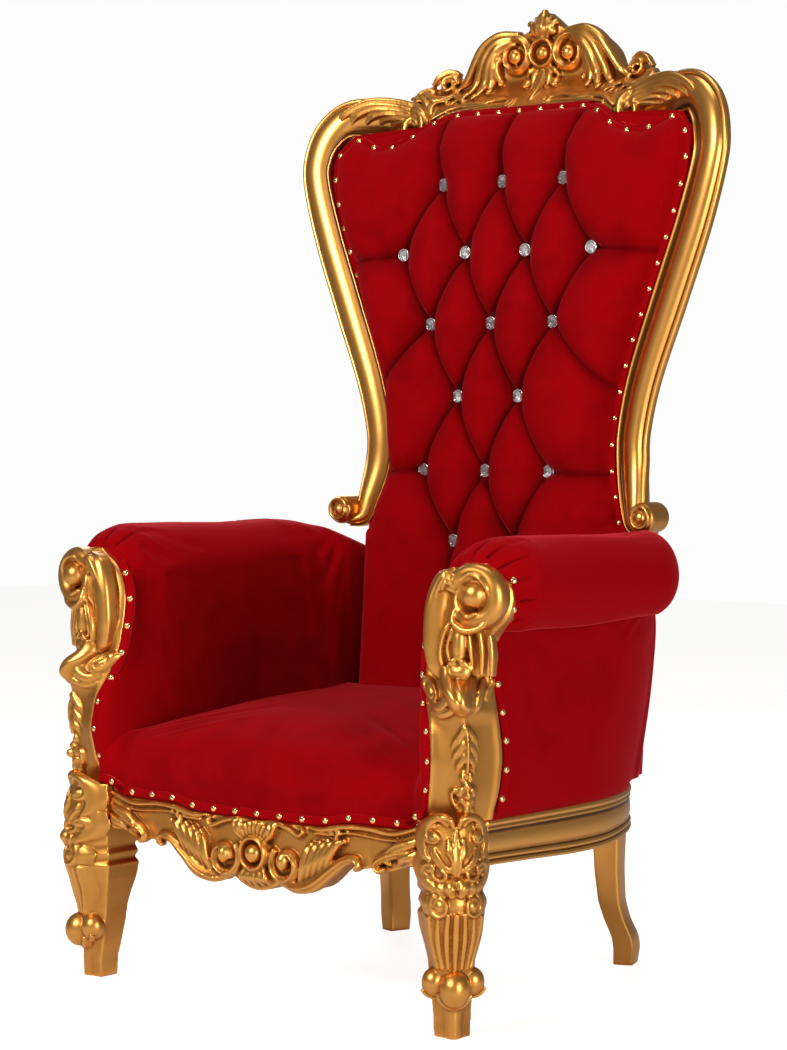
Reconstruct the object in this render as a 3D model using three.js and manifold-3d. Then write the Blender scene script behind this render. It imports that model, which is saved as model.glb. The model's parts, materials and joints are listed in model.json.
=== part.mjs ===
// A high-backed throne: a gilded carved frame with a velvet seat, rolled arms and a tufted back.
// Millimetres, +Z up, the front faces -Y, and x = 0 is the plane of symmetry.
// Every left piece is its right piece mirrored in that plane.
import * as THREE from "three";
import { mergeVertices } from "three/addons/utils/BufferGeometryUtils.js";
import Module from "manifold-3d";

const wasm = await Module();
wasm.setup();

// ---- Driving sizes -------------------------------------------------------------------------
const SEAT_HALF_WIDTH = 341;
const SEAT_FRONT_Y = -362;
const SEAT_BACK_Y = 238;
const SEAT_REAR_HEIGHT = 496;
const SEAT_FRONT_HEIGHT = 440;

const FRONT_FOOT = { x: 406, y: -347 };
const LEG_TOP_Z = 356;

const FRONT_RAIL = { halfSpan: 356.5, face: -364, thickness: 40, bow: 8 };
const SIDE_RAIL = { top: 354, bottom: 276, thickness: 34 };
const BACK_RAIL = { y: 338, thickness: 34 };

const POST = { top: 778, thickness: 42 };

const STILE_DEPTH = 60;
const LOW_SCROLL = { x: 357, y: 266, z: 833, radius: 28 };

const CREST = { face: 463, thickness: 34, coveTop: 1675, coveBottom: 1608, coveDepth: 78 };
const FABRIC_TOP_Z = 1606;

const BUTTON_RADIUS = 12;
const BUTTON_ROWS = [
  { z: 1462, y: 339, xs: [-141, 0, 141] },
  { z: 1329, y: 316, xs: [-222, -71, 71, 222] },
  { z: 1193, y: 303, xs: [-144, 0, 144] },
  { z: 1055, y: 294, xs: [-71, 71] },
  { z: 914, y: 286, xs: [-148, 0, 148] },
  { z: 780, y: 280, xs: [-71, 71] },
];
const GAP = 0.35;

// ---- Finishes ------------------------------------------------------------------------------
const gold = () => new THREE.MeshStandardMaterial({ color: 0xc08a35, roughness: 0.38, metalness: 0.75 });
const velvet = () => new THREE.MeshStandardMaterial({ color: 0xa5030f, roughness: 0.85, metalness: 0 });
const crystal = () => new THREE.MeshStandardMaterial({ color: 0xe8eaee, roughness: 0.12,
  metalness: 0.1 });

const throne = new THREE.Group();

// ---- Geometry helpers ----------------------------------------------------------------------
const v = (x, y, z) => new THREE.Vector3(x, y, z);
const mix = THREE.MathUtils.lerp;
const smooth = THREE.MathUtils.smoothstep;

// The value at t in 0..1 of a smooth curve through a few evenly spread values.
function along(values, t) {
  const last = values.length - 1;
  const place = THREE.MathUtils.clamp(t, 0, 1) * last;
  const i = Math.max(0, Math.min(Math.floor(place), last - 1));
  const f = place - i;
  const blend = f * f * (3 - 2 * f);
  return mix(values[i], values[Math.min(i + 1, last)], blend);
}

// The value at x of straight stretches through [x, value] pairs.
function graph(pairs, x) {
  if (x <= pairs[0][0]) return pairs[0][1];
  for (let i = 1; i < pairs.length; i++) {
    const [x0, y0] = pairs[i - 1];
    const [x1, y1] = pairs[i];
    if (x <= x1) return mix(y0, y1, (x - x0) / (x1 - x0));
  }
  return pairs.at(-1)[1];
}

function signedVolume(geometry) {
  const p = geometry.getAttribute("position");
  const order = geometry.getIndex().array;
  const corners = [v(), v(), v()];
  let total = 0;
  for (let i = 0; i < order.length; i += 3) {
    corners.forEach((corner, k) => corner.fromBufferAttribute(p, order[i + k]));
    total += corners[0].dot(corners[1].cross(corners[2]));
  }
  return total / 6;
}

function flip(geometry) {
  const order = Array.from(geometry.getIndex().array);
  for (let i = 0; i < order.length; i += 3) [order[i], order[i + 1]] = [order[i + 1], order[i]];
  geometry.setIndex(order);
  return geometry;
}

// An indexed, position-only mesh without empty faces, whose faces point out.
function closed(geometry) {
  geometry.deleteAttribute("normal");
  geometry.deleteAttribute("uv");
  const merged = mergeVertices(geometry, 1e-3);
  const order = merged.getIndex().array;
  const kept = [];
  for (let i = 0; i < order.length; i += 3) {
    const [a, b, c] = order.slice(i, i + 3);
    if (a !== b && b !== c && c !== a) kept.push(a, b, c);
  }
  merged.setIndex(kept);
  return signedVolume(merged) < 0 ? flip(merged) : merged;
}

// A closed body through a row of rings with equal point counts; a fan closes each end.
function loft(rings) {
  const n = rings[0].length;
  const points = rings.flat();
  const order = [];
  for (let r = 0; r + 1 < rings.length; r++) {
    for (let i = 0; i < n; i++) {
      const a = r * n + i;
      const b = r * n + ((i + 1) % n);
      order.push(a, b, b + n, a, b + n, a + n);
    }
  }
  const middle = (ring) => ring.reduce((sum, p) => sum.add(p), v(0, 0, 0)).divideScalar(n);
  const startHub = points.length;
  const lastRing = (rings.length - 1) * n;
  points.push(middle(rings[0]), middle(rings.at(-1)));
  for (let i = 0; i < n; i++) {
    const next = (i + 1) % n;
    order.push(startHub, next, i, startHub + 1, lastRing + i, lastRing + next);
  }
  const geometry = new THREE.BufferGeometry().setFromPoints(points);
  geometry.setIndex(order);
  return closed(geometry);
}

function toManifold(geometry) {
  const solid = closed(geometry);
  return new wasm.Manifold(new wasm.Mesh({
    numProp: 3,
    vertProperties: new Float32Array(solid.getAttribute("position").array),
    triVerts: new Uint32Array(solid.getIndex().array),
  }));
}

function toGeometry(manifold) {
  const mesh = manifold.getMesh();
  const geometry = new THREE.BufferGeometry();
  geometry.setAttribute("position", new THREE.BufferAttribute(new Float32Array(mesh.vertProperties), 3));
  geometry.setIndex(Array.from(mesh.triVerts));
  return geometry;
}

// One body from several overlapping ones, less the cutters.
function carve(bodies, cutters = []) {
  let result = toManifold(bodies[0]);
  for (const body of bodies.slice(1)) result = result.add(toManifold(body));
  for (const cutter of cutters) result = result.subtract(toManifold(cutter));
  return toGeometry(result);
}

// Moves every vertex by a function of its place.
function reshape(geometry, place) {
  const p = geometry.getAttribute("position");
  const point = v();
  for (let i = 0; i < p.count; i++) {
    place(point.fromBufferAttribute(p, i));
    p.setXYZ(i, point.x, point.y, point.z);
  }
  return geometry;
}

const mirrored = (geometry) => flip(geometry.clone().scale(-1, 1, 1));

function put(name, geometry, material) {
  const mesh = new THREE.Mesh(geometry, material);
  mesh.name = name;
  throne.add(mesh);
}

function putPair(name, geometry, material) {
  put(`${name}_right`, geometry, material());
  put(`${name}_left`, mirrored(geometry), material());
}

// ---- Carving strokes -----------------------------------------------------------------------
// A stroke is a ridge that follows a path on a carved face. Path points are [across, up] or
// [across, up, out]; widths and rises are spread evenly along the path. The section is a plain
// crease for leaves and fillets, or rounded for scrolls, as [half widths, rises].
const CREASED = [[-1, null], [0, 1], [1, null]];
const ROUNDED = [[-1, null], [-0.7, 0.75], [0.7, 0.75], [1, null]];

function stroke(frame, path, widths, rises, steps = 4, section = CREASED, root = 9) {
  const curve = new THREE.CatmullRomCurve3(path.map(([a, b, c = 0]) => v(a, b, c)), false, "centripetal");
  const rings = [];
  for (let s = 0; s <= steps; s++) {
    const t = s / steps;
    const spot = curve.getPoint(t);
    const way = curve.getTangent(t);
    const side = v(-way.y, way.x, 0).normalize();
    const half = along(widths, t) / 2;
    const rise = along(rises, t);
    rings.push(section.map(([w, h]) => frame(spot.x + side.x * half * w, spot.y + side.y * half * w,
      spot.z + (h === null ? -root : h * rise))));
  }
  return loft(rings);
}

// A spiral path that closes in on its centre, for a volute.
function spiral(cx, cy, radius, start, turns, shrink = 0.45, points = 6) {
  const path = [];
  for (let i = 0; i <= points; i++) {
    const t = i / points;
    const r = radius * (1 - (1 - shrink) * t);
    const angle = start + turns * 2 * Math.PI * t;
    path.push([cx + r * Math.cos(angle), cy + r * Math.sin(angle)]);
  }
  return path;
}

// A ball or an egg, set on a carved face.
function ball(frame, a, b, c, radius, tall = radius, deep = radius, sides = 6) {
  const shape = new THREE.SphereGeometry(1, sides, Math.max(4, sides / 2));
  return reshape(closed(shape), (p) => {
    p.copy(frame(a + p.x * radius, b + p.z * tall, c + p.y * deep));
  });
}

const faceAt = (y) => (a, b, c) => v(a, y - c, b);

// A carved face that looks along a turned direction: 0 looks to the front, 90 to the right.
function turnedFace(x, y, degrees) {
  const angle = THREE.MathUtils.degToRad(degrees);
  const across = v(Math.cos(angle), Math.sin(angle), 0);
  const out = v(Math.sin(angle), -Math.cos(angle), 0);
  return (a, b, c) => v(x, y, b).addScaledVector(across, a).addScaledVector(out, c);
}

// ---- Front legs: a square tapered core whose outer corner is carved ------------------------
function frontLeg() {
  const face = turnedFace(FRONT_FOOT.x, FRONT_FOOT.y, 45);
  // A level section: a square set corner-first, with a carved front of its own reach.
  const plain = (z, half, centre) => [z, half, centre, half * 0.5, centre + half * 0.5, centre + half];
  const carved = (z, half, centre, width, shoulder, reach) => [z, half, centre, width, shoulder, reach];
  const sections = [
    plain(0, 30.5, 0),
    plain(34, 32, 0),
    plain(60, 34, -4),
    carved(75, 35, -6, 26, 22, 32),
    carved(130, 40, -10, 30, 29, 39),
    carved(180, 53, -13, 40, 38, 51),
    carved(207, 57, -14, 44, 40, 60),
    carved(216, 50, -13, 45, 38, 61),
    carved(226, 56, -14, 46, 36, 62),
    carved(240, 50, -13, 46, 34, 58),
    carved(247, 57, -12, 47, 28, 56),
    carved(300, 57, -12, 51, 21, 61),
    carved(LEG_TOP_Z, 57, -12, 46, 22, 50),
  ];
  const rings = sections.map(([z, half, centre, width, shoulder, reach]) => [
    face(0, z, centre - half), face(half, z, centre), face(width, z, shoulder),
    face(width * 0.5, z, mix(shoulder, reach, 0.8)), face(0, z, reach),
    face(-width * 0.5, z, mix(shoulder, reach, 0.8)), face(-width, z, shoulder), face(-half, z, centre),
  ]);
  const bodies = [loft(rings), ball(face, 0, 84, 38, 26, 30, 27, 8)];
  for (const side of [-1, 1]) {
    bodies.push(ball(face, side * 31, 93, 11, 22, 25, 22));
    bodies.push(ball(face, side * 30, 226, 24, 14, 17, 14));
    bodies.push(ball(face, side * 32, 334, 22, 12, 14, 14));
    bodies.push(stroke(face, [[side * 9, 214, 58], [side * 10, 170, 45], [side * 9, 122, 35]],
      [9, 12, 7], [2, 6, 3], 2));
    bodies.push(stroke(face, [[side * 24, 345, 30], [side * 42, 343, 20], [side * 53, 315, 8],
      [side * 47, 280, 14], [side * 24, 258, 42]], [10, 15, 16, 20, 12], [5, 7, 7, 9, 6], 5));
  }
  return carve(bodies);
}
putPair("front_leg", frontLeg(), gold);

// ---- Arm posts: an S-shaped carved upright that ends in the arm's front scroll -------------
const POST_INNER = [
  [356, 360, -366], [395, 381, -379], [455, 392, -387], [512, 384, -381], [550, 365, -366],
  [598, 353, -351], [660, 349, -339], [700, 351, -334], [738, 366, -331], [762, 392, -329], [778,
  424, -327],
];
const POST_OUTER = [
  [356, 454, -303], [408, 461, -290], [460, 463, -285], [513, 462, -292], [560, 460, -303],
  [614, 460, -315], [650, 461, -322], [668, 474, -322], [690, 497, -312], [720, 502, -305],
  [748, 496, -306], [766, 476, -312], [778, 448, -318],
];
const POST_FRONT = [
  [356, 444, -361], [400, 452, -367], [512, 452, -368], [524, 452, -377], [548, 451, -384], [572,
  443, -381],
  [588, 426, -364], [625, 411, -353], [680, 414, -350], [740, 430, -349], [766, 436, -344], [778,
  436, -336],
];
const POST_LEVELS = [LEG_TOP_Z + GAP, 400, 455, 512, 524, 548, 572, 588, 625, 660, 690, 720, 748,
  766, POST.top];

const planPoint = (rows, z) => new THREE.Vector2(
  graph(rows.map(([level, x]) => [level, x]), z),
  graph(rows.map(([level, , y]) => [level, y]), z));

// The post's section at one height; `grow` widens it to make a cutter for the soft parts.
function postSection(z, grow = 0) {
  const inner = planPoint(POST_INNER, z);
  const outer = planPoint(POST_OUTER, z);
  const front = planPoint(POST_FRONT, z);
  const chord = outer.clone().sub(inner).normalize();
  const out = new THREE.Vector2(chord.y, -chord.x);
  inner.addScaledVector(chord, -grow);
  outer.addScaledVector(chord, grow);
  const collar = 9 * smooth(z, 512, 540) * (1 - smooth(z, 572, 590));
  const between = (p, q) => p.clone().lerp(q, 0.5).addScaledVector(out, 3 + collar + grow * 40);
  const back = (p) => p.clone().addScaledVector(out, -POST.thickness * 0.8 - grow);
  return [inner, between(inner, front), front.clone().addScaledVector(out, grow * 60),
    between(front, outer),
    outer, back(outer), back(inner)].map((p) => v(p.x, p.y, z));
}

function armPost() {
  const drop = turnedFace(452, -368, 47);
  const scroll = turnedFace(456, -348, 14);
  const bodies = [loft(POST_LEVELS.map((z) => postSection(z)))];
  bodies.push(ball(scroll, 2, 728, 0, 23, 23, 24));
  bodies.push(stroke(scroll, spiral(0, 726, 43, -2.6, 0.85, 0.72), [10, 22, 24, 20, 10], [4, 12,
    12, 10, 4],
    6, ROUNDED));
  bodies.push(stroke(scroll, [[-52, 740, 0], [-82, 705, -3], [-94, 650, -6], [-88, 610, -6], [-74,
    588, -2]],
    [10, 20, 24, 20, 12], [3, 8, 9, 8, 6], 5, CREASED, 16));
  bodies.push(stroke(scroll, [[-42, 700, 4], [-58, 655, 4], [-48, 606, 4]], [8, 14, 8], [5, 9, 6],
    3, CREASED, 20));
  bodies.push(ball(scroll, -26, 640, -6, 17, 38, 20));
  bodies.push(ball(turnedFace(377, -352, 20), 0, 572, 0, 15, 17, 12));
  for (const side of [-1, 0, 1]) {
    bodies.push(stroke(drop, [[side * 4, 510], [side * 14, 480, -Math.abs(side) * 3], [side * 6, 430]],
      [8, 17, 4], [4, 8, 2], 3));
  }
  bodies.push(ball(drop, 0, 402, 2, 12, 13, 11));
  bodies.push(stroke(drop, [[0, 392, 2], [0, 372, 0], [0, 363, -4]], [14, 20, 4], [4, 7, 1], 2));
  return carve(bodies);
}
putPair("arm_post", armPost(), gold);

// ---- Front rail: a shaped board with a shell, two volutes and acanthus leaves --------------
const railTop = (x) => 324 + 11 * smooth(Math.abs(x), 135, 215) + 17 * smooth(Math.abs(x), 325, 357);

// The places along the rail where its top edge, and the seat on it, have a corner.
const SEAT_STATIONS = Array.from({ length: 15 }, (_, i) => mix(-SEAT_HALF_WIDTH, SEAT_HALF_WIDTH,
  i / 14));

// The lower outline from the middle to the leg, as [|x|, z].
const RAIL_HEM = [
  [0, 200], [42, 212], [58, 220], [92, 213], [125, 214], [150, 225], [186, 256], [212, 272], [232, 261],
  [256, 264], [285, 261], [316, 270], [345, 281], [357, 283],
];

function frontRail() {
  const face = faceAt(FRONT_RAIL.face);
  const end = FRONT_RAIL.halfSpan;
  const outline = new THREE.Shape();
  const hems = RAIL_HEM.filter(([x]) => x < end);
  outline.moveTo(-end, railTop(end));
  for (const x of [...SEAT_STATIONS, end]) outline.lineTo(x, railTop(x));
  outline.lineTo(end, graph(RAIL_HEM, end));
  for (const [x, z] of hems.toReversed()) outline.lineTo(x, z);
  for (const [x, z] of hems.slice(1)) outline.lineTo(-x, z);
  outline.lineTo(-end, graph(RAIL_HEM, end));
  const board = new THREE.ExtrudeGeometry(outline, { depth: FRONT_RAIL.thickness, bevelEnabled: false });
  board.rotateX(Math.PI / 2).translate(0, FRONT_RAIL.face + FRONT_RAIL.thickness, 0);
  const bodies = [board, ball(face, 0, 266, 8, 17, 17, 16, 8)];
  bodies.push(stroke(face, spiral(0, 266, 27, 0, 1, 1, 8).slice(0, -1), [11], [20], 7));
  for (const spread of [-2, -1, 0, 1, 2]) {
    const lean = spread * 0.36;
    const reach = 56 - 3 * Math.abs(spread);
    bodies.push(stroke(face, [[28 * Math.sin(lean), 266 + 26 * Math.cos(lean), 6],
      [reach * Math.sin(lean), 266 + reach * Math.cos(lean), 4]], [9, 17], [6, 10], 1));
  }
  for (const spread of [-1, 0, 1]) {
    bodies.push(stroke(face, [[spread * 12, 244, 5], [spread * 22, 222, 8], [spread * 30, 208, 2]],
      [12, 22, 10], [6, 12, 6], 2));
  }
  for (const side of [-1, 1]) {
    const at = (x, z, c = 0) => [side * x, z, c];
    bodies.push(stroke(face, spiral(72, 252, 33, Math.PI, -0.9, 0.55).map(([x, z]) => at(x, z, 3)),
      [14, 18, 15, 10], [10, 14, 14, 12], 7));
    bodies.push(ball(face, side * 70, 257, 8, 12, 16, 14));
    bodies.push(stroke(face, [at(70, 222, 4), at(110, 219, 6), at(150, 236, 6), at(190, 268, 5),
      at(218, 274, 4),
      at(226, 262, 6)], [12, 26, 24, 20, 16, 10], [8, 14, 13, 11, 12, 8], 6));
    for (const lobe of [0, 1, 2]) {
      bodies.push(stroke(face, [at(104 + 18 * lobe, 226 + 8 * lobe, 4), at(122 + 20 * lobe,
        262 + 6 * lobe, 7),
        at(128 + 24 * lobe, 292 + 3 * lobe, 6)], [10, 20, 8], [8, 13, 6], 2));
    }
    bodies.push(stroke(face, [at(352, 292, 4), at(318, 290, 6), at(280, 276, 6), at(262, 268, 6)],
      [10, 18, 18, 12], [6, 10, 12, 8], 3));
    bodies.push(stroke(face, [at(30, 318, 2), at(90, 313, 2), at(150, 318, 2), at(205, 329, 2),
      at(300, 327, 2),
      at(355, 342, 2)], [7, 8, 8, 8, 8, 7], [4, 5, 5, 5, 5, 4], 6));
  }
  const ends = [-1, 1].map((side) => {
    const block = new THREE.BoxGeometry(60, 200, 300);
    return block.translate(side * (end + 30), FRONT_RAIL.face, 280);
  });
  return reshape(carve(bodies, ends), (p) => {
    p.y -= FRONT_RAIL.bow * Math.cos((p.x / end) * (Math.PI / 2));
  });
}
put("front_rail", frontRail(), gold());

// ---- Side rails: a moulded board that curves in to the back leg ----------------------------
const SIDE_PLAN = [
  [455, -297.5], [455, -170], [454, -60], [449, 30], [434, 100], [410, 160], [376, 215], [345, 257],
  [312, 297], [286, 331],
];

function sideRail() {
  const plan = new THREE.CatmullRomCurve3(SIDE_PLAN.map(([x, y]) => v(x, y, 0)));
  const steps = 11;
  const wave = (t) => 5 * Math.sin(2 * Math.PI * (t * 1.5 - 0.15));
  const profile = [[0, 0], [0, 0.1], [-5, 0.16], [-5, 0.8], [0, 0.86], [0, 1]];
  const rings = [];
  for (let s = 0; s <= steps; s++) {
    const t = s / steps;
    const spot = plan.getPointAt(t);
    const way = plan.getTangentAt(t);
    const out = v(way.y, -way.x, 0);
    const low = SIDE_RAIL.bottom - Math.min(0, wave(t));
    const high = SIDE_RAIL.top - Math.max(0, wave(t));
    const ring = profile.map(([inset, f]) => spot.clone().addScaledVector(out, inset).setZ(mix(low,
      high, f)));
    ring.push(spot.clone().addScaledVector(out, -SIDE_RAIL.thickness).setZ(high));
    ring.push(spot.clone().addScaledVector(out, -SIDE_RAIL.thickness).setZ(low));
    rings.push(ring);
  }
  return loft(rings);
}
putPair("side_rail", sideRail(), gold);

// ---- Back rail and back legs ---------------------------------------------------------------
const backRail = new THREE.BoxGeometry(2 * 244, BACK_RAIL.thickness,
  SIDE_RAIL.top - SIDE_RAIL.bottom - 10);
backRail.translate(0, BACK_RAIL.y - BACK_RAIL.thickness / 2, (SIDE_RAIL.top + SIDE_RAIL.bottom) / 2);
put("back_rail", closed(backRail), gold());

function backLeg() {
  // Height, centre x, centre y, width and depth: the leg kicks back and out to its foot.
  const sections = [
    [0, 275, 345, 37, 46], [30, 277, 347, 41, 50], [52, 275, 344, 41, 50], [85, 266, 331, 40, 49],
    [120, 260, 322, 42, 50], [180, 258, 317, 46, 54], [235, 259, 315, 50, 58], [275.6, 260, 313, 52, 60],
  ];
  const rings = sections.map(([z, x, y, width, depth]) => {
    const face = turnedFace(x, y, 18.6);
    const [a, c] = [width / 2, depth / 2];
    return [face(-a, z, -c), face(a, z, -c), face(a, z, c), face(-a, z, c)];
  });
  return loft(rings);
}
putPair("back_leg", backLeg(), gold);

// ---- Back stiles: a moulded band from the low scroll up and over to the shoulder volute ----
// Centre x, centre z, width and front y along the band.
const STILE_PATH = [
  [350, 808, 18, 290], [321, 820, 36, 301], [314, 856, 54, 308], [302, 925, 66, 322], [302, 990, 67, 325],
  [326, 1090, 69, 325], [381, 1235, 73, 325], [432, 1370, 73, 325], [464, 1480, 71, 326], [464,
  1535, 73, 331],
  [446, 1579, 76, 342], [410, 1608, 75, 358], [358, 1609, 82, 382], [308, 1595, 84, 400], [240,
  1584, 42, 414],
];
// The moulding across the band: inner lip, hollow, broad ridge and outer bead, as [across, rise].
const STILE_PROFILE = [[-0.46, -0.85], [-0.5, 0], [-0.38, 0.06], [-0.24, -0.1], [0.06, 0.2], [0.36, 0.02],
  [0.5, -0.12], [0.3, -0.42], [0.05, -0.85]];

function stileBand() {
  const line = new THREE.CatmullRomCurve3(STILE_PATH.map(([x, z]) => v(x, 0, z)), false, "centripetal");
  const last = STILE_PATH.length - 1;
  const rings = [];
  for (let i = 0; i <= last; i++) {
    const [x, z, width, front] = STILE_PATH[i];
    const way = line.getTangent(i / last);
    const outer = v(way.z, 0, -way.x).normalize();
    rings.push(STILE_PROFILE.map(([across, rise]) => v(x, front - rise * STILE_DEPTH, z)
      .addScaledVector(outer, across * width)));
  }
  return loft(rings);
}

function backStile() {
  const bodies = [stileBand()];
  const low = LOW_SCROLL;
  const drum = new THREE.CylinderGeometry(low.radius, low.radius, 58, 14);
  bodies.push(drum.translate(low.x, low.y + 29, low.z));
  bodies.push(ball(faceAt(low.y), low.x, low.z, 0, 13, 13, 7));
  const shoulder = (a, b, c) => v(a, 408 - 0.36 * Math.max(0, a - 260) - c, b);
  for (const lobe of [0, 1, 2]) {
    const reach = 48 + 16 * lobe;
    bodies.push(stroke(shoulder, [[268 + reach * 0.15, 1566 + reach * 0.5, 2], [262 + reach,
      1590 + reach * 0.42, 8],
      [285 + reach * 1.25, 1612 + lobe * 5, 6], [312 + reach * 1.4, 1600 + lobe * 8, -4]],
    [10, 20, 18, 5], [8, 13, 11, 3], 4));
  }
  bodies.push(stroke(shoulder, spiral(262, 1584, 25, Math.PI * 0.5, 0.9, 0.6), [12, 16, 12, 8],
    [10, 14, 12, 10], 5));
  return carve(bodies);
}
putPair("back_stile", backStile(), gold);

// ---- Crest: a pierced and carved top piece that leans back behind the tufted back ----------
// The upper outline from the middle outwards, as [|x|, z].
const CREST_TOP = [
  [0, 1802], [18, 1788], [45, 1766], [66, 1763], [104, 1761], [135, 1742], [160, 1718], [172,
  1692], [182, 1680],
  [204, 1688], [226, 1687], [246, 1674], [262, 1666], [282, 1664], [300, 1656],
];
// The lower outline, which frames the fabric, as [|x|, z].
// Beyond the fabric it runs along the top of the shoulder volute.
const CREST_HEM = [[0, 1607], [160, 1607], [195, 1598], [224, 1585], [228, 1600], [242, 1618],
  [268, 1630], [300, 1645]];

function crest() {
  const face = faceAt(CREST.face);
  const outline = new THREE.Shape();
  const rim = [...CREST_TOP.toReversed().map(([x, z]) => [-x, z]), ...CREST_TOP.slice(1)];
  const hem = [...CREST_HEM.toReversed(), ...CREST_HEM.slice(1).map(([x, z]) => [-x, z])];
  outline.moveTo(...rim[0]);
  for (const [x, z] of rim.slice(1)) outline.lineTo(x, z - 3);
  for (const [x, z] of hem) outline.lineTo(x, z + 1);
  const board = new THREE.ExtrudeGeometry(outline, { depth: CREST.thickness, bevelEnabled: false });
  board.rotateX(Math.PI / 2).translate(0, CREST.face + CREST.thickness, 0);
  const bodies = [board, ball(face, 0, 1717, 4, 15, 15, 16, 8)];
  bodies.push(stroke(face, spiral(0, 1717, 26, 0, 1, 1, 8).slice(0, -1), [10], [18], 7));
  for (const spread of [-2, -1, 0, 1, 2]) {
    bodies.push(stroke(face, [[spread * 8, 1746, 2], [spread * 17, 1764 + 4 * Math.abs(spread), 6],
      [spread * 22, 1801 - 15 * Math.abs(spread), 2]], [10, 20, 8], [6, 14, 5], 2));
  }
  for (const spread of [-1, 0, 1]) {
    bodies.push(stroke(face, [[spread * 8, 1690, 3], [spread * 17, 1668, 6], [spread * 6,
      1632 + 20 * Math.abs(spread), 2]],
      [10, 18, 6], [6, 12, 4], 2));
  }
  for (const side of [-1, 1]) {
    const at = (x, z, c = 0) => [side * x, z, c];
    bodies.push(ball(face, side * 34, 1662, 4, 9));
    bodies.push(ball(face, side * 60, 1714, 6, 14, 14, 14));
    bodies.push(stroke(face, spiral(62, 1716, 38, Math.PI * 1.1, -1.1, 0.55, 8).map(([x,
      z]) => at(x, z, 3)),
      [14, 18, 18, 14, 10], [12, 17, 17, 15, 12], 8));
    for (const lobe of [0, 1, 2]) {
      bodies.push(stroke(face, [at(102 + 16 * lobe, 1744 - 17 * lobe, 4), at(114 + 20 * lobe,
        1710 - 16 * lobe, 9),
        at(104 + 25 * lobe, 1680 - 14 * lobe, 4)], [12, 24, 8], [8, 15, 6], 3));
    }
    bodies.push(stroke(face, [at(104, 1748, 3), at(140, 1726, 6), at(165, 1690, 6), at(196, 1660, 4)],
      [12, 22, 18, 8], [8, 14, 12, 6], 4));
    bodies.push(stroke(face, spiral(222, 1672, 18, Math.PI, -1, 0.4).map(([x, z]) => at(x, z, 3)),
      [12, 15, 12, 8], [10, 14, 13, 12], 5));
    bodies.push(stroke(face, [at(196, 1650, 3), at(232, 1638, 6), at(274, 1652, 5)], [10, 20, 12],
      [6, 12, 6], 3));
    bodies.push(stroke(face, [at(60, 1632, 2), at(105, 1622, 3), at(160, 1620, 3), at(190, 1613,
      3), at(214, 1600, 3)],
      [6, 9, 9, 8, 7], [4, 6, 6, 6, 4], 4));
  }
  const lean = (p) => {
    p.y -= CREST.coveDepth * (1 - smooth(p.z, CREST.coveBottom - 20, CREST.coveTop));
    p.y -= 24 * smooth(Math.abs(p.x), 215, 300);
  };
  return reshape(carve(bodies), lean);
}
put("crest", crest(), gold());

// ---- Seat: a sprung and crowned velvet cushion between the arms ----------------------------
const armInner = (y) => graph([[-300, 347], [-200, 346], [0, 340], [150, 325], [245, 313], [330,
  313]], y);

function seat() {
  const deep = 6;
  const rings = [];
  for (const station of SEAT_STATIONS) {
    const f = station / SEAT_HALF_WIDTH;
    const crown = 30 * (1 - f ** 4);
    const wide = (y) => f * Math.min(SEAT_HALF_WIDTH, armInner(y) - 2);
    const low = railTop(station) + GAP;
    const front = SEAT_FRONT_Y - FRONT_RAIL.bow * Math.cos(f * Math.PI / 2);
    const ring = [v(wide(SEAT_FRONT_Y), front, low), v(wide(SEAT_FRONT_Y), front - 4, mix(low,
      SEAT_FRONT_HEIGHT, 0.55)),
      v(wide(SEAT_FRONT_Y), front + 12, SEAT_FRONT_HEIGHT - 14)];
    for (let j = 0; j <= deep; j++) {
      const g = j / deep;
      const y = mix(SEAT_FRONT_Y + 45, SEAT_BACK_Y, g);
      const rise = crown * Math.sin(Math.PI * Math.min(1, 0.15 + g * 0.85));
      ring.push(v(wide(y), y, mix(SEAT_FRONT_HEIGHT + 12, SEAT_REAR_HEIGHT, g) + rise));
    }
    ring.push(v(wide(SEAT_BACK_Y), SEAT_BACK_Y, low));
    rings.push(ring);
  }
  return loft(rings);
}
put("seat_cushion", seat(), velvet());

// ---- Arms: a padded panel that turns over into a fat roll ----------------------------------
function armPad() {
  const bottom = SIDE_RAIL.top + 2.5;
  const stations = [-316, -290, -255, -120, 20, 110, 155, 200, 250, 320];
  const rings = stations.map((y) => {
    const inner = armInner(y);
    const foot = graph([[-300, 449], [20, 446], [90, 431], [150, 408], [215, 372], [257, 341],
      [320, 317]], y);
    const panel = graph([[-300, 458], [0, 460], [100, 458], [155, 450], [200, 430], [250, 395],
      [320, 350]], y);
    const middle = graph([[-316, 425], [-255, 434], [0, 440], [155, 438], [200, 414], [250, 380],
      [320, 345]], y);
    const radius = graph([[-316, 70], [-290, 80], [-255, 86], [-200, 84], [0, 82], [155, 80], [200,
      74], [250, 60],
      [320, 34]], y);
    const level = graph([[-316, 728], [-255, 738], [200, 740], [250, 738], [320, 732]], y);
    const ring = [v(inner, y, bottom), v(foot, y, bottom), v(mix(foot, panel, 0.7), y, 500),
      v(panel, y, 650)];
    for (const degrees of [-62, -20, 20, 60, 100, 140, 180]) {
      const angle = THREE.MathUtils.degToRad(degrees);
      ring.push(v(Math.max(inner, middle + radius * Math.cos(angle)), y,
        level + radius * Math.sin(angle)));
    }
    ring.push(v(inner, y, level - 60));
    return ring;
  });
  const cutter = loft([LEG_TOP_Z - 1, ...POST_LEVELS.slice(1, -1), 830].map((z) => postSection(z, 2)));
  return carve([loft(rings)], [cutter]);
}
putPair("arm_pad", armPad(), velvet);

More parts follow.
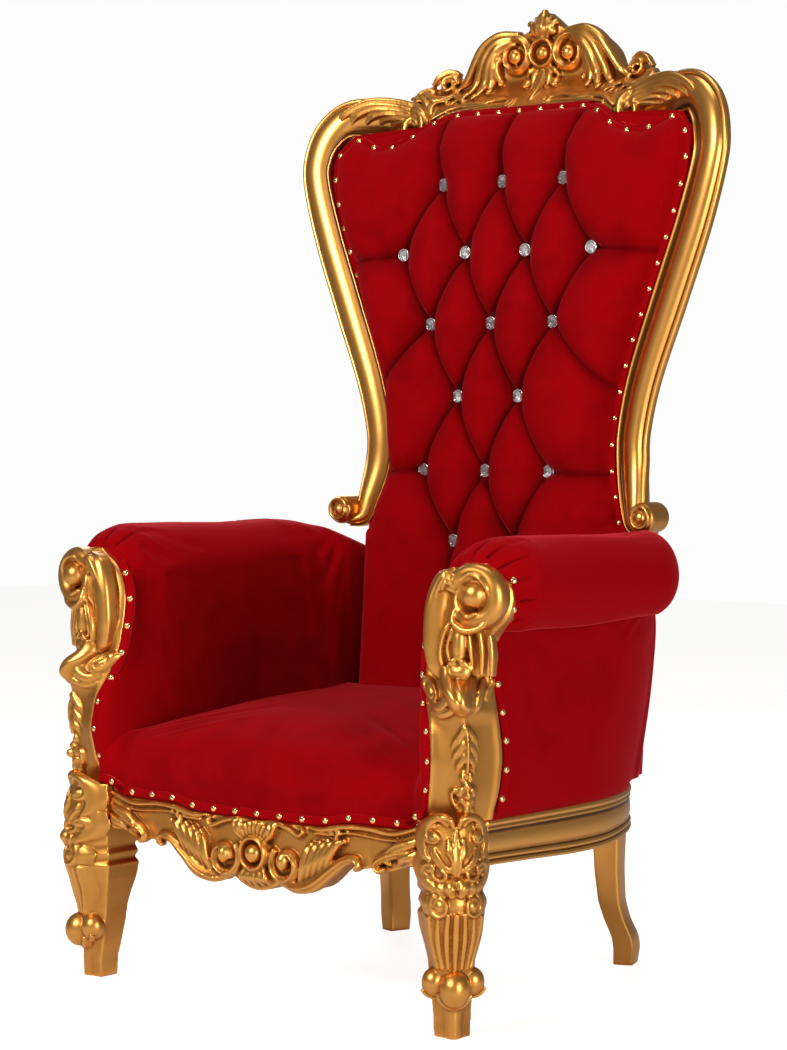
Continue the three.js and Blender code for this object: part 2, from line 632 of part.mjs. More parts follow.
// ---- Back: a tufted pad inside the frame, with a plain upholstered panel behind ------------
const PAD_HALF_WIDTH = [
  [460, 309], [796, 309], [806, 290], [833, 292], [862, 281], [900, 269], [942, 262], [1012, 268],
  [1133, 299],
  [1246, 343], [1360, 388], [1460, 418], [1508, 423], [1534, 421], [1560, 412],
];
const PAD_TOP = [
  [0, FABRIC_TOP_Z], [160, FABRIC_TOP_Z], [195, 1596], [228, 1581], [250, 1562], [285, 1549], [320,
  1545], [380, 1570],
  [400, 1568], [424, 1534],
];
const PAD_REAR = [[357, 326], [460, 334], [800, 352], [940, 358], [1500, 362], [1560, 374], [1606, 398]];
const PAD_FRONT = [[460, 250], [780, 280], [914, 286], [1193, 303], [1462, 339], [1530, 352],
  [1606, 390]];

// A place on the back's outline: u runs from -1 at the left edge to 1, f from the bottom to the top.
function backPlace(u, f, bottom) {
  const z = mix(bottom, graph(PAD_TOP, Math.abs(u) * 424), f);
  return [u * graph(PAD_HALF_WIDTH, z), z];
}

function backPad() {
  const columns = 10;
  const rows = 15;
  const buttons = BUTTON_ROWS.flatMap(({ z, xs }) => xs.map((x) => [x, z]));
  const rings = [];
  for (let r = 0; r <= rows; r++) {
    const ring = [];
    const f = r / rows;
    for (let c = 0; c <= columns; c++) {
      const u = mix(-1, 1, c / columns);
      const [x, z] = backPlace(u, f, 460);
      const edge = (1 - Math.abs(u) ** 6) * smooth(f, 0, 0.04) * (1 - smooth(f, 0.95, 1));
      const pull = buttons.reduce((sum, [bx,
        bz]) => sum + Math.exp(-(((x - bx) ** 2 + (z - bz) ** 2) / 46 ** 2)), 0);
      const puff = 26 * edge * Math.max(0, 1 - pull);
      ring.push(v(x, graph(PAD_FRONT, z) - puff, z));
    }
    const right = ring.at(-1);
    const left = ring[0];
    ring.push(v(right.x, graph(PAD_REAR, right.z), right.z), v(left.x, graph(PAD_REAR, left.z), left.z));
    rings.push(ring);
  }
  const pockets = BUTTON_ROWS.flatMap(({ z, y, xs }) => xs.map((x) => {
    const pocket = new THREE.CylinderGeometry(BUTTON_RADIUS + 3, BUTTON_RADIUS + 3, 80, 6);
    return pocket.translate(x, y + 5 - 40, z);
  }));
  return carve([loft(rings)], pockets);
}
put("back_pad", backPad(), velvet());

function backPanel() {
  const columns = 6;
  const rows = 8;
  const rings = [];
  for (let r = 0; r <= rows; r++) {
    const layer = (depth) => Array.from({ length: columns + 1 }, (_, c) => {
      const u = mix(-1, 1, c / columns);
      const [x, z] = backPlace(u, r / rows, SIDE_RAIL.top + 2.5);
      return v(x * (z < 420 ? 0.92 : 0.98), graph(PAD_REAR, z) + depth + 4 * (1 - u * u), z);
    });
    rings.push([...layer(5), ...layer(14).reverse()]);
  }
  return loft(rings);
}
put("back_panel", backPanel(), velvet());

// ---- Crystal buttons, one in each dimple ---------------------------------------------------
for (const [row, { z, y, xs }] of BUTTON_ROWS.entries()) {
  for (const [place, x] of xs.entries()) {
    const profile = [[0, -4], [BUTTON_RADIUS, -3], [BUTTON_RADIUS - 1, 2], [0, 6]];
    const shape = new THREE.LatheGeometry(profile.map(([r, h]) => new THREE.Vector2(r, h)), 6);
    const geometry = closed(shape.rotateX(Math.PI)).translate(x, y, z);
    put(`button_${row + 1}_${place + 1}`, geometry, crystal());
  }
}

// The origin stands on the floor at the middle of the throne's outline seen from above.
throne.updateMatrixWorld(true);
const reach = new THREE.Box3().setFromObject(throne);
throne.position.y = -(reach.min.y + reach.max.y) / 2;

export default throne;
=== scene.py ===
import json
import math

import bmesh
import bpy
import numpy as np
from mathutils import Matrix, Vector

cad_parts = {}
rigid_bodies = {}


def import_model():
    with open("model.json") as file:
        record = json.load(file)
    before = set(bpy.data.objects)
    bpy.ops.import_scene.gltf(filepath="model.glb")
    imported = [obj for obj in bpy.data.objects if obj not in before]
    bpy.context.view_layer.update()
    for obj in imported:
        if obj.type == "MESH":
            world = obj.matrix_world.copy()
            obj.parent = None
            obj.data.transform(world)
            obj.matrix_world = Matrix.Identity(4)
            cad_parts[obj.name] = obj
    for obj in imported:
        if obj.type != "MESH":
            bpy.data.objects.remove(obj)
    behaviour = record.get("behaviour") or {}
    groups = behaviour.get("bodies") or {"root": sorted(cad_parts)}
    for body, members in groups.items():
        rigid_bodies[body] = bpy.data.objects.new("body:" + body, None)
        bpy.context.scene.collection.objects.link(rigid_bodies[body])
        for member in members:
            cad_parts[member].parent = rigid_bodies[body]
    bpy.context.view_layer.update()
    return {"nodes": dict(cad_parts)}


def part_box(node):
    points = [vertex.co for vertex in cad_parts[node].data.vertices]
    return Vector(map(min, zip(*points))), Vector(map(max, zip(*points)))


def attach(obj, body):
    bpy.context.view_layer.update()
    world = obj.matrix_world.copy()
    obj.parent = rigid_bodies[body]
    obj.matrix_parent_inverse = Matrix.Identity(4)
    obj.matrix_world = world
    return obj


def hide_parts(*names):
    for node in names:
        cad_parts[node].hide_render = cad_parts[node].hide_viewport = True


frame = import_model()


# ---- The studio -----------------------------------------------------------------------------
# A pale floor, a pale room and large soft lamps. The throne is laid out in millimetres about its
# own middle plane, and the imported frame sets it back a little, by the shift found here.
BACK_RAIL_REAR = 0.338
set_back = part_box("back_rail")[1][1] - BACK_RAIL_REAR
scene = bpy.context.scene
scene.view_settings.view_transform = "Standard"

camera_data = bpy.data.cameras.new("camera")
camera_data.lens = 96.9
camera_data.sensor_width = 36
camera_data.clip_end = 100
camera = bpy.data.objects.new("camera", camera_data)
camera.location = (3.241, -3.979 + set_back, 1.023)
camera.rotation_euler = (math.radians(90 - 2.271), 0, math.radians(39.17))
scene.collection.objects.link(camera)
scene.camera = camera


def set_inputs(node, **values):
    """Sets a node's inputs by name, with _ for a space."""
    for name, value in values.items():
        node.inputs[name.replace("_", " ")].default_value = value
    return node


def add_node(tree, kind, **values):
    return set_inputs(tree.nodes.new("ShaderNode" + kind), **values)


def multiply(tree, value, factor, added=None):
    """value * factor, with another value added where there is one."""
    node = tree.nodes.new("ShaderNodeMath")
    node.operation = "MULTIPLY" if added is None else "MULTIPLY_ADD"
    tree.links.new(value, node.inputs[0])
    node.inputs[1].default_value = factor
    if added is not None:
        tree.links.new(added, node.inputs[2])
    return node.outputs[0]


# The room is a faint lamp for the throne and a pale backdrop for the camera.
room = bpy.data.worlds.new("room")
room.use_nodes = True
room_tree = room.node_tree
room_light = set_inputs(room_tree.nodes["Background"], Color=(1, 0.98, 0.95, 1), Strength=0.19)
backdrop = add_node(room_tree, "Background", Color=(0.98, 0.98, 0.98, 1))
either = add_node(room_tree, "MixShader")
for socket, source in enumerate((add_node(room_tree, "LightPath").outputs["Is Camera Ray"],
                                 room_light.outputs[0], backdrop.outputs[0])):
    room_tree.links.new(source, either.inputs[socket])
room_tree.links.new(either.outputs[0], room_tree.nodes["World Output"].inputs["Surface"])
scene.world = room


def lamp(name, place, aim, size, power, colour=(1, 1, 1)):
    """A soft rectangular lamp, pointed from its place at its aim."""
    data = bpy.data.lights.new(name, "AREA")
    data.shape = "RECTANGLE"
    data.size, data.size_y = size
    data.energy = power
    data.color = colour
    lamp_object = bpy.data.objects.new(name, data)
    lamp_object.location = place
    way = np.subtract(aim, place)
    flat = math.hypot(way[0], way[1])
    lamp_object.rotation_euler = (math.atan2(flat, -way[2]), 0, math.atan2(way[1], way[0]) - math.pi / 2)
    scene.collection.objects.link(lamp_object)


lamp("key_lamp", (-0.2, -3.6, 2.7), (0, 0, 1.0), (1.2, 1.2), 112, (1, 0.97, 0.93))
lamp("side_lamp", (3.4, -1.3, 1.05), (0, 0, 0.8), (0.9, 1.3), 58, (1, 0.98, 0.95))
lamp("top_lamp", (0.2, 0.1, 3.9), (0, 0, 1.0), (1.4, 1.2), 20)
lamp("rear_lamp", (-2.4, 2.4, 2.4), (0, 0, 1.0), (1.2, 1.8), 30)

FLOOR_REACH = 9
FLOOR_GLOW = 0.77
floor_mesh = bpy.data.meshes.new("floor")
floor_mesh.from_pydata([(a * FLOOR_REACH, b * FLOOR_REACH, 0) for a, b in ((-1, -1), (1, -1), (1, 1), (-1, 1))],
                       [], [(0, 1, 2, 3)])
floor = bpy.data.objects.new("floor", floor_mesh)
scene.collection.objects.link(floor)
floor_paint = bpy.data.materials.new("floor_paint")
floor_paint.use_nodes = True
floor_tree = floor_paint.node_tree
floor_shader = set_inputs(floor_tree.nodes["Principled BSDF"], Base_Color=(0.86, 0.85, 0.84, 1), Roughness=0.75,
                          Emission_Color=(1, 1, 1, 1))
floor_seen = add_node(floor_tree, "LightPath").outputs["Is Camera Ray"]
floor_tree.links.new(multiply(floor_tree, floor_seen, FLOOR_GLOW), floor_shader.inputs["Emission Strength"])
floor_mesh.materials.append(floor_paint)


# ---- Front legs -----------------------------------------------------------------------------
# Two carved hardwood legs, set corner to the front, gessoed and gilded with a brown wash and painted
# shade in the hollows. A shield, a collar, two ovals, long flutes and three balls stand over a plain foot.
def turned_face(x, y, degrees):
    """An upright face through (x, y), turned about the vertical."""
    turn = math.radians(degrees)
    return lambda a, b, c: np.stack([x + a * math.cos(turn) + c * math.sin(turn),
                                     y + a * math.sin(turn) - c * math.cos(turn), b + 0 * a], -1)


def spline(path, count):
    """A smooth curve through a few points, as count points."""
    p = np.array([list(q) + [0] * (3 - len(q)) if len(q) < 3 else list(q) for q in path], float)
    p = np.vstack([2 * p[0] - p[1], p, 2 * p[-1] - p[-2]])
    t = np.linspace(0, len(path) - 1, count)
    i = np.minimum(t.astype(int), len(path) - 2)
    f = (t - i)[:, None]
    a, b, c, d = p[i], p[i + 1], p[i + 2], p[i + 3]
    return 0.5 * (2 * b + (c - a) * f + (2 * a - 5 * b + 4 * c - d) * f ** 2 + (3 * b - a - 3 * c + d) * f ** 3)


def spread(values, t):
    """Values eased evenly along t in 0..1."""
    values = np.atleast_1d(np.asarray(values, float))
    if len(values) == 1:
        return np.full_like(t, values[0])
    place = t * (len(values) - 1)
    i = np.minimum(place.astype(int), len(values) - 2)
    f = place - i
    f = f * f * (3 - 2 * f)
    return values[i] * (1 - f) + values[i + 1] * f


def between(rows, z):
    """Every column of a table at a height, between its rows."""
    table = np.array(rows, float)
    return [np.interp(z, table[:, 0], table[:, k]) for k in range(1, table.shape[1])]


def circle(count):
    return np.linspace(0, 2 * math.pi, count, endpoint=False)


def loft(rings):
    """A closed skin over rings with the same number of points."""
    rings = np.asarray(rings, float)
    count, around = rings.shape[:2]
    r, i = np.meshgrid(np.arange(count - 1), np.arange(around), indexing="ij")
    a = (r * around + i).ravel()
    b = (r * around + (i + 1) % around).ravel()
    faces = np.stack([a, b, b + around, a + around], 1).tolist()
    faces.append(list(range(around))[::-1])
    faces.append(list(range((count - 1) * around, count * around)))
    return rings.reshape(-1, 3), faces


def ridge(face, path, widths, rises, grooves=0, gouge=0.55, root=12, fine=2.6):
    """A carved ridge that follows a path on a face. Grooves are cut along it by a gouge."""
    rough = spline(path, 40)
    length = np.linalg.norm(np.diff(rough, axis=0), axis=1).sum()
    count = max(6, int(length / fine))
    spots = spline(path, count)
    way = np.gradient(spots, axis=0)
    side = np.stack([-way[:, 1], way[:, 0]], 1)
    side /= np.linalg.norm(side, axis=1, keepdims=True) + 1e-9
    t = np.linspace(0, 1, count)
    half = spread(widths, t)[:, None] / 2
    rise = spread(rises, t)[:, None]
    w = np.cos(np.linspace(np.pi, 0, 21))[None, :]
    top = np.sqrt(np.maximum(0, 1 - w ** 2))
    if grooves:
        top = top * (1 - gouge * (0.5 + 0.5 * np.cos(np.pi * (grooves * w + grooves - 1))))
    a = spots[:, :1] + side[:, :1] * half * w
    b = spots[:, 1:2] + side[:, 1:2] * half * w
    c = spots[:, 2:] + rise * top
    lows = spots[:, 2:] - root + 0 * w
    points = face(a, b, c)
    under = face(a[:, ::-1], b[:, ::-1], lows)
    return loft(np.concatenate([points, under], 1))


def strokes(face, rows, side=1, **cut):
    """Ridges from rows of path, widths, rises, grooves and gouge, mirrored where side is -1."""
    return [ridge(face, [(side * a, b, c) for a, b, c in path], *shape, **cut) for path, *shape in rows]


def spiral(across, up, radius, start, turns, shrink=0.45, count=14, tall=1.0):
    """A path that curls in round a centre, from an angle and through a number of turns."""
    t = np.linspace(0, 1, count)
    r = radius * (1 - (1 - shrink) * t)
    angle = start + turns * 2 * math.pi * t
    return np.stack([across + r * np.cos(angle), up + tall * r * np.sin(angle), 0 * t], 1)


def ball(face, a, b, c, radius, tall=None, deep=None):
    tall = tall or radius
    deep = deep or radius
    angle = circle(24)[None, :]
    lift = np.linspace(-math.pi / 2 + 0.02, math.pi / 2 - 0.02, 14)[:, None]
    return loft(face(a + radius * np.cos(lift) * np.cos(angle), b + tall * np.sin(lift) + 0 * angle,
                     c + deep * np.cos(lift) * np.sin(angle)))


def balls(face, rows, side=1):
    return [ball(face, side * a, *rest) for a, *rest in rows]


def new_mesh(name, points, faces):
    mesh = bpy.data.meshes.new(name)
    mesh.from_pydata(np.asarray(points).tolist(), [], faces if isinstance(faces, list) else faces.tolist())
    return mesh


def read(mesh, what="co"):
    """A mesh's points or normals, as rows of three."""
    values = np.empty(len(mesh.vertices) * 3)
    mesh.vertices.foreach_get(what, values)
    return values.reshape(-1, 3)


def relax(points, start, end, rounds, share=0.5):
    """Draws each point towards the mean of its neighbours."""
    degree = np.maximum(1, np.bincount(start, minlength=len(points)))[:, None]
    for _ in range(rounds):
        mean = np.stack([np.bincount(start, points[end, k], len(points)) for k in range(3)], 1) / degree
        points = points + share * (mean - points)
    return points


def gather(bodies):
    """Bodies side by side in one mesh."""
    points, faces, base = [], [], 0
    for body_points, body_faces in bodies:
        points.append(body_points)
        faces += [[base + i for i in f] for f in body_faces]
        base += len(body_points)
    return np.vstack(points), faces


def fuse(bodies, grain, polish=2):
    """Overlapping bodies as one solid, with the saw marks polished off."""
    rough = bpy.data.objects.new("rough", new_mesh("rough", *gather(bodies)))
    scene.collection.objects.link(rough)
    union = rough.modifiers.new("union", "REMESH")
    union.mode = "VOXEL"
    union.voxel_size = grain
    solid = rough.evaluated_get(bpy.context.evaluated_depsgraph_get()).to_mesh()
    joined = read(solid)
    corners = np.empty(len(solid.loops), int)
    solid.loops.foreach_get("vertex_index", corners)
    quads = corners.reshape(-1, 4)
    bpy.data.objects.remove(rough)
    return relax(joined, quads.ravel(), np.roll(quads, -1, 1).ravel(), polish), quads


def painted(name, stops, shade_of, grain, strength, distance, **values):
    """A material that runs through stops by the shade, with a fine grain raised on it."""
    material = bpy.data.materials.new(name)
    material.use_nodes = True
    tree = material.node_tree
    shader = set_inputs(tree.nodes["Principled BSDF"], **values)
    place = add_node(tree, "TexCoord").outputs["Object"]
    depth = tree.nodes.new("ShaderNodeAttribute")
    depth.attribute_name = "hollow"
    shade = shade_of(tree, place, depth.outputs["Fac"])
    tone = add_node(tree, "ValToRGB")
    ramp = tone.color_ramp.elements
    for end, (position, colour) in ((0, stops[0]), (1, stops[-1])):
        ramp[end].position, ramp[end].color = position, (*colour, 1)
    for position, colour in stops[1:-1]:
        ramp.new(position).color = (*colour, 1)
    tree.links.new(shade, tone.inputs["Fac"])
    tree.links.new(tone.outputs["Color"], shader.inputs["Base Color"])
    fine = add_node(tree, "TexNoise", **grain)
    tree.links.new(place, fine.inputs["Vector"])
    bump = add_node(tree, "Bump", Strength=strength, Distance=distance)
    tree.links.new(fine.outputs["Fac"], bump.inputs["Height"])
    tree.links.new(bump.outputs["Normal"], shader.inputs["Normal"])
    return material, tree, shader, shade


def carved_gold(name, bright, mid, dark, rough):
    """Gold over gesso: lighter on the ridges, partly rubbed bright and partly painted highlight, and antique
    brown in the hollows, partly the wash and partly painted shade.
    """
    # Painted shade and highlight by the depth mark, with the antique wash and a cloudy tone.
    def wash_and_painted_shade(tree, place, depth):
        cloud = add_node(tree, "TexNoise", Scale=22, Detail=5)
        tree.links.new(place, cloud.inputs["Vector"])
        return multiply(tree, cloud.outputs["Fac"], 0.16, depth)

    material, tree, shader, shade = painted(
        name, [(0.30, bright), (0.60, mid), (0.95, dark)], wash_and_painted_shade, dict(Scale=190, Detail=4), 0.12, 0.0008,
        Metallic=1.0, Coat_Weight=0.25, Coat_Roughness=0.22)
    duller = add_node(tree, "MapRange", From_Min=0.3, From_Max=1.0, To_Min=rough, To_Max=rough + 0.28)
    tree.links.new(shade, duller.inputs["Value"])
    tree.links.new(duller.outputs["Result"], shader.inputs["Roughness"])
    return material


gilding = carved_gold("gilding", (0.84, 0.40, 0.090), (0.56, 0.235, 0.040), (0.09, 0.027, 0.004), 0.33)
PLAIN_MARK = 0.42
DEEPEST_MARK = 0.92
FINE_HOLLOW, BROAD_HOLLOW = 0.0008, 0.0050


def mark_hollows(mesh, marks):
    layer = mesh.attributes.get("hollow") or mesh.attributes.new("hollow", "FLOAT", "POINT")
    layer.data.foreach_set("value", np.clip(marks, 0, DEEPEST_MARK).astype(np.float32))


def hollow_depth(mesh, weight=1.0):
    """Marks each point with how deep it lies in the carving, against fine and broad smoothing: the mark by
    which the materials paint shade in the hollows and lay the gold's wash.
    """
    points, normals = read(mesh), read(mesh, "normal")
    edges = np.empty(len(mesh.edges) * 2, int)
    mesh.edges.foreach_get("vertices", edges)
    one, other = edges.reshape(-1, 2).T
    start, end = np.concatenate([one, other]), np.concatenate([other, one])
    fine = relax(points, start, end, 8)
    broad = relax(fine, start, end, 36)
    fine_depth, broad_depth = (((smooth - points) * normals).sum(1) for smooth in (fine, broad))
    depth = fine_depth / FINE_HOLLOW + broad_depth / BROAD_HOLLOW
    mark_hollows(mesh, PLAIN_MARK + 0.27 * weight * depth)


def piece(name, body, material, nodes=(), flip=False):
    """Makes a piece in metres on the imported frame, right side, or mirrored to the left."""
    points, faces = body
    points = np.array(points, float) / 1000
    if flip:
        points[:, 0] *= -1
        faces = [list(f)[::-1] for f in faces]
    points[:, 1] += set_back
    mesh = new_mesh(name, points, faces)
    work = bmesh.new()
    work.from_mesh(mesh)
    bmesh.ops.recalc_face_normals(work, faces=work.faces)
    if work.calc_volume(signed=True) < 0:
        bmesh.ops.reverse_faces(work, faces=work.faces)
    work.to_mesh(mesh)
    work.free()
    mesh.materials.append(material)
    mesh.polygons.foreach_set("use_smooth", [True] * len(mesh.polygons))
    hollow_depth(mesh)
    made = bpy.data.objects.new(name, mesh)
    scene.collection.objects.link(made)
    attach(made, "root")
    if nodes:
        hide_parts(*nodes)
    return made


def settle(made, modifier):
    """Makes a modifier's result the piece's own smooth mesh."""
    mesh = bpy.data.meshes.new_from_object(made.evaluated_get(bpy.context.evaluated_depsgraph_get()))
    made.modifiers.remove(modifier)
    old = made.data
    made.data = mesh
    bpy.data.meshes.remove(old)
    mesh.polygons.foreach_set("use_smooth", [True] * len(mesh.polygons))


def thin(made, share):
    """Drops faces where the carving is flat and keeps them where it is fine."""
    sieve = made.modifiers.new("sieve", "DECIMATE")
    sieve.ratio = share
    settle(made, sieve)


def pair(name, body, material, node=None):
    """The right piece and its mirror, each in place of its own node if there is one."""
    return [piece(f"{name}_{hand}", body, material, [f"{node}_{hand}"] if node else [],
                  flip=hand == "left")
            for hand in ("right", "left")]


LEG_FACE = turned_face(406, -347, 45)
# Height, half diagonal, centre, then half width, shoulder and reach of the carved front.
LEG_SECTIONS = [
    (0, 30.5, 0, 15, 15, 30.5), (34, 32, 0, 16, 16, 32), (60, 34, -4, 20, 14, 31), (75, 35, -6, 26, 22, 32),
    (100, 38, -8, 28, 26, 35), (130, 40, -10, 30, 29, 39), (155, 46, -11, 35, 33, 45),
    (180, 53, -13, 40, 38, 51), (207, 57, -14, 44, 40, 60), (216, 50, -13, 45, 38, 61),
    (226, 56, -14, 46, 36, 62), (240, 50, -13, 46, 34, 58), (247, 57, -12, 47, 28, 56),
    (275, 57, -12, 49, 24, 59), (300, 57, -12, 51, 21, 61), (330, 57, -12, 49, 21, 56),
    (355.6, 57, -12, 46, 22, 50),
]
LEG_TOP = LEG_SECTIONS[-1][0]


def leg_ring(z, half, centre, width, shoulder, reach):
    e = np.linspace(width, -width, 13)
    front = shoulder + (reach - shoulder) * (1 - (e / width) ** 2)
    across = np.concatenate([[0, half], e, [-half]])
    out = np.concatenate([[centre - half, centre], front, [centre]])
    return LEG_FACE(across, np.full_like(across, z), out)


def leg_skin(e, z, height):
    """A place on the carved front, height above the wood under it."""
    _, _, width, shoulder, reach = between(LEG_SECTIONS, z)
    inside = shoulder + (reach - shoulder) * (1 - np.minimum(1, np.abs(e) / width) ** 2)
    beyond = np.maximum(0, np.abs(e) - width)
    return LEG_FACE(e, z, inside - 2.2 * beyond + height)


leg_bodies = [loft([leg_ring(z, *between(LEG_SECTIONS, z)) for z in np.linspace(0, LEG_TOP, 110)])]
leg_bodies += [ball(LEG_FACE, 0, 84, 37, 26, 31, 28),
               ridge(LEG_FACE, spiral(0, 84, 30, math.pi * 1.1, 0.40, 1, 16, 1.12) + [0, 0, 28], [5], [6])]
leg_bodies += strokes(leg_skin, [
    ([(0, 350, 0), (0, 326, 1), (0, 296, 1), (0, 272, 0)], [5, 12, 20, 12], [4, 8, 9, 5], 1, 0.5),
    ([(0, 212, 0), (0, 165, 0), (0, 118, 0)], [11, 12, 7], [7, 7, 5]),
])
LEG_STROKES = [
    # the long flutes that fall from the ovals to the balls
    ([(14, 212, 0), (15, 165, 0), (11, 116, 0)], [8, 10, 6], [6, 6, 4]),
    ([(30, 202, 0), (29, 165, 0), (21, 116, 0)], [6, 9, 5], [5, 6, 4]),
    ([(46, 205, 2), (42, 165, 1), (29, 118, 1)], [7, 8, 6], [6, 6, 4]),
    # an oval with a curled rim
    ([(46, 240, 0), (50, 226, 2), (46, 210, 0)], [7, 10, 7], [5, 8, 5]),
    # the shield's side scrolls: a volute at the top of each and a second curl below
    ([(12, 354, 0), (28, 366, 1), (46, 354, 1), (54, 330, 0), (51, 306, 0), (42, 296, 1)],
     [8, 12, 13, 13, 11, 6], [6, 11, 12, 11, 10, 5], 1, 0.25),
    ([(56, 306, -2), (57, 282, -1), (50, 262, 1), (36, 252, 2), (22, 254, 2)], [7, 13, 15, 14, 8],
     [5, 10, 12, 12, 6], 1, 0.3),
    ([(4, 350, 0), (10, 364, 1), (24, 368, 1), (34, 360, 0)], [7, 11, 11, 6], [6, 10, 10, 5]),
    # leaves in the shield
    ([(2, 292, 0), (10, 312, 2), (13, 334, 1)], [7, 13, 5], [5, 9, 4], 1, 0.45),
    ([(6, 280, 0), (22, 288, 2), (33, 304, 2), (36, 318, 1)], [7, 13, 12, 5], [5, 10, 9, 4], 1, 0.45),
    # the fluted collar
    ([(4, 268, 2), (11, 254, 6), (6, 238, 2)], [14, 23, 12], [7, 13, 6]),
    ([(22, 264, 2), (28, 252, 5), (19, 238, 1)], [9, 14, 8], [6, 11, 5], 1, 0.3),
    ([(37, 266, 1), (40, 254, 4), (30, 240, 0)], [8, 12, 7], [6, 10, 5], 1, 0.3),
]
# the curls: the oval's rim, the volute of the shield, and the leaf that turns back under it
OVAL_CURL = (spiral(29, 224, 15, math.pi * 0.35, -1.2, 0.55, 24, 1.3) + [0, 0, 1], [8, 9, 8, 5], [7, 10, 9, 7])
SHIELD_CURL = (spiral(37, 337, 15, math.pi * 0.6, -0.95, 0.45, 20) + [0, 0, 1], [7, 8, 8, 5], [6, 10, 10, 8])
LEAF_CURL = (spiral(26, 276, 13, math.pi * 0.2, -0.85, 0.45, 18) + [0, 0, 2], [6, 8, 8, 5], [5, 10, 11, 9])
for s in (-1, 1):
    leg_bodies += strokes(leg_skin, LEG_STROKES, s) + strokes(leg_skin, [OVAL_CURL, LEAF_CURL], s, root=8)
    leg_bodies += strokes(leg_skin, [SHIELD_CURL], s, root=10)
    leg_bodies += balls(leg_skin, ((29, 223, 3, 8, 11, 7), (37, 336, 4, 8, 9, 9), (43, 282, 3, 6, 6, 8)), s)
    leg_bodies += [
        ball(LEG_FACE, s * 31, 93, 13, 21, 24, 22),
        ridge(LEG_FACE, spiral(s * 32, 93, 23, math.pi * 1.15, 0.36, 1, 12, 1.12) + [0, 0, 17], [4], [4],
              root=6),
        ridge(leg_skin, spiral(s * 43, 282, 13, -math.pi * 0.4, s * 0.95, 0.4, 20) + [0, 0, 1],
              [7, 8, 7, 5], [6, 10, 10, 8], root=10),
    ]
for leg in pair("front_leg_carving", fuse(leg_bodies, 1.7), gilding, "front_leg"):
    thin(leg, 0.5)


# ---- Back legs ------------------------------------------------------------------------------
# Two plain sabre legs of square stock with softened corners, gilded like the front but undecorated.
# They kick back and out, and are screwed up under the side rails.
# Height, centre x, centre y, width and depth.
BACK_LEG = [
    (0, 275, 345, 37, 46), (30, 277, 347, 41, 50), (52, 275, 344, 41, 50), (85, 266, 331, 40, 49),
    (120, 260, 322, 42, 50), (180, 258, 317, 46, 54), (235, 259, 315, 50, 58), (275.3, 260, 313, 52, 60),
]


def soft_box(half_width, half_depth, corner=6, steps=4):
    ring = []
    for quarter, (sx, sy) in enumerate([(1, 1), (-1, 1), (-1, -1), (1, -1)]):
        for k in range(steps + 1):
            angle = (quarter + k / steps) * math.pi / 2
            ring.append((sx * (half_width - corner) + corner * math.cos(angle),
                         sy * (half_depth - corner) + corner * math.sin(angle)))
    return np.array(ring)


def soften(rows, rounds):
    """Smooths a run of points where it lies and leaves its two ends."""
    for _ in range(rounds):
        rows[1:-1] = (rows[:-2] + 2 * rows[1:-1] + rows[2:]) / 4


BACK_LEG_TURN = 18.6
back_leg_rings = []
for z in np.linspace(0, BACK_LEG[-1][0], 60):
    x, y, width, depth = between(BACK_LEG, z)
    ring = soft_box(width / 2, depth / 2)
    back_leg_rings.append(turned_face(x, y, BACK_LEG_TURN)(ring[:, 0], np.full(len(ring), z), ring[:, 1]))
back_leg_rings = np.array(back_leg_rings)
soften(back_leg_rings[:, :, :2], 3)
pair("back_leg_wood", loft(back_leg_rings), gilding, "back_leg")


# ---- Side rails and back rail ---------------------------------------------------------------
# Moulded boards that carry the arms. A bead runs along the top, a double bead along the wavy lower
# edge, and each side rail bends in to the back leg. The back rail between them is plain.
SIDE_PLAN = [
    (453, -314), (455, -170), (454, -60), (449, 30), (434, 100), (410, 160), (376, 215), (345, 257),
    (312, 297), (286, 331),
]
# Across the moulding from the lower edge up, as (set in, share of the height).
RAIL_MOULDING = [
    (5, 0), (1, 0.01), (0, 0.05), (1, 0.09), (4, 0.11), (4, 0.13), (1, 0.15), (0.5, 0.19), (1.5, 0.23),
    (3.5, 0.25), (3.5, 0.28), (2, 0.38), (1.5, 0.5), (2.5, 0.64), (4, 0.73), (3, 0.77), (1.5, 0.80),
    (2.5, 0.83), (3.5, 0.85), (1, 0.89), (0, 0.93), (1, 0.97), (4, 1.0),
]


def direction(path):
    """The unit direction of a path at each of its points."""
    way = np.gradient(path, axis=0)
    return way / np.linalg.norm(way, axis=1, keepdims=True)


rail_line = spline(SIDE_PLAN, 140)[:, :2]
rail_way = direction(rail_line)
rail_out = np.stack([rail_way[:, 1], -rail_way[:, 0]], 1)
SIDE_THICK = 34
rail_rings = []
for k, t in enumerate(np.linspace(0, 1, 140)):
    wave = 5 * math.sin(2 * math.pi * (t * 1.5 - 0.15))
    low, high = 277 - wave, 355.5
    ring = [(*(rail_line[k] - rail_out[k] * inset), low + (high - low) * share)
            for inset, share in RAIL_MOULDING]
    rear = rail_line[k] - rail_out[k] * SIDE_THICK
    ring += [(*rear, high), (*rear, low)]
    rail_rings.append(ring)
pair("side_rail_moulding", loft(rail_rings), gilding, "side_rail")

back_rail_rings = [[(x, 321 + out, 315 + up) for out, up in soft_box(17, 34, 3)]
                   for x in np.linspace(-276, 276, 50)]
piece("back_rail_board", loft(back_rail_rings), gilding, ["back_rail"])


# ---- Front rail -----------------------------------------------------------------------------
# A shaped board carved in relief: a boss under a shell, two volutes with dark hollows, acanthus
# sweeping up to the sides and small scrolls by the legs. A moulding follows the seat above it.
def face_at(depth):
    """An upright face: (across, up, out) on it as a place in the throne's own millimetres."""
    return lambda a, b, c: np.stack([a, depth - c, b + 0 * a], -1)


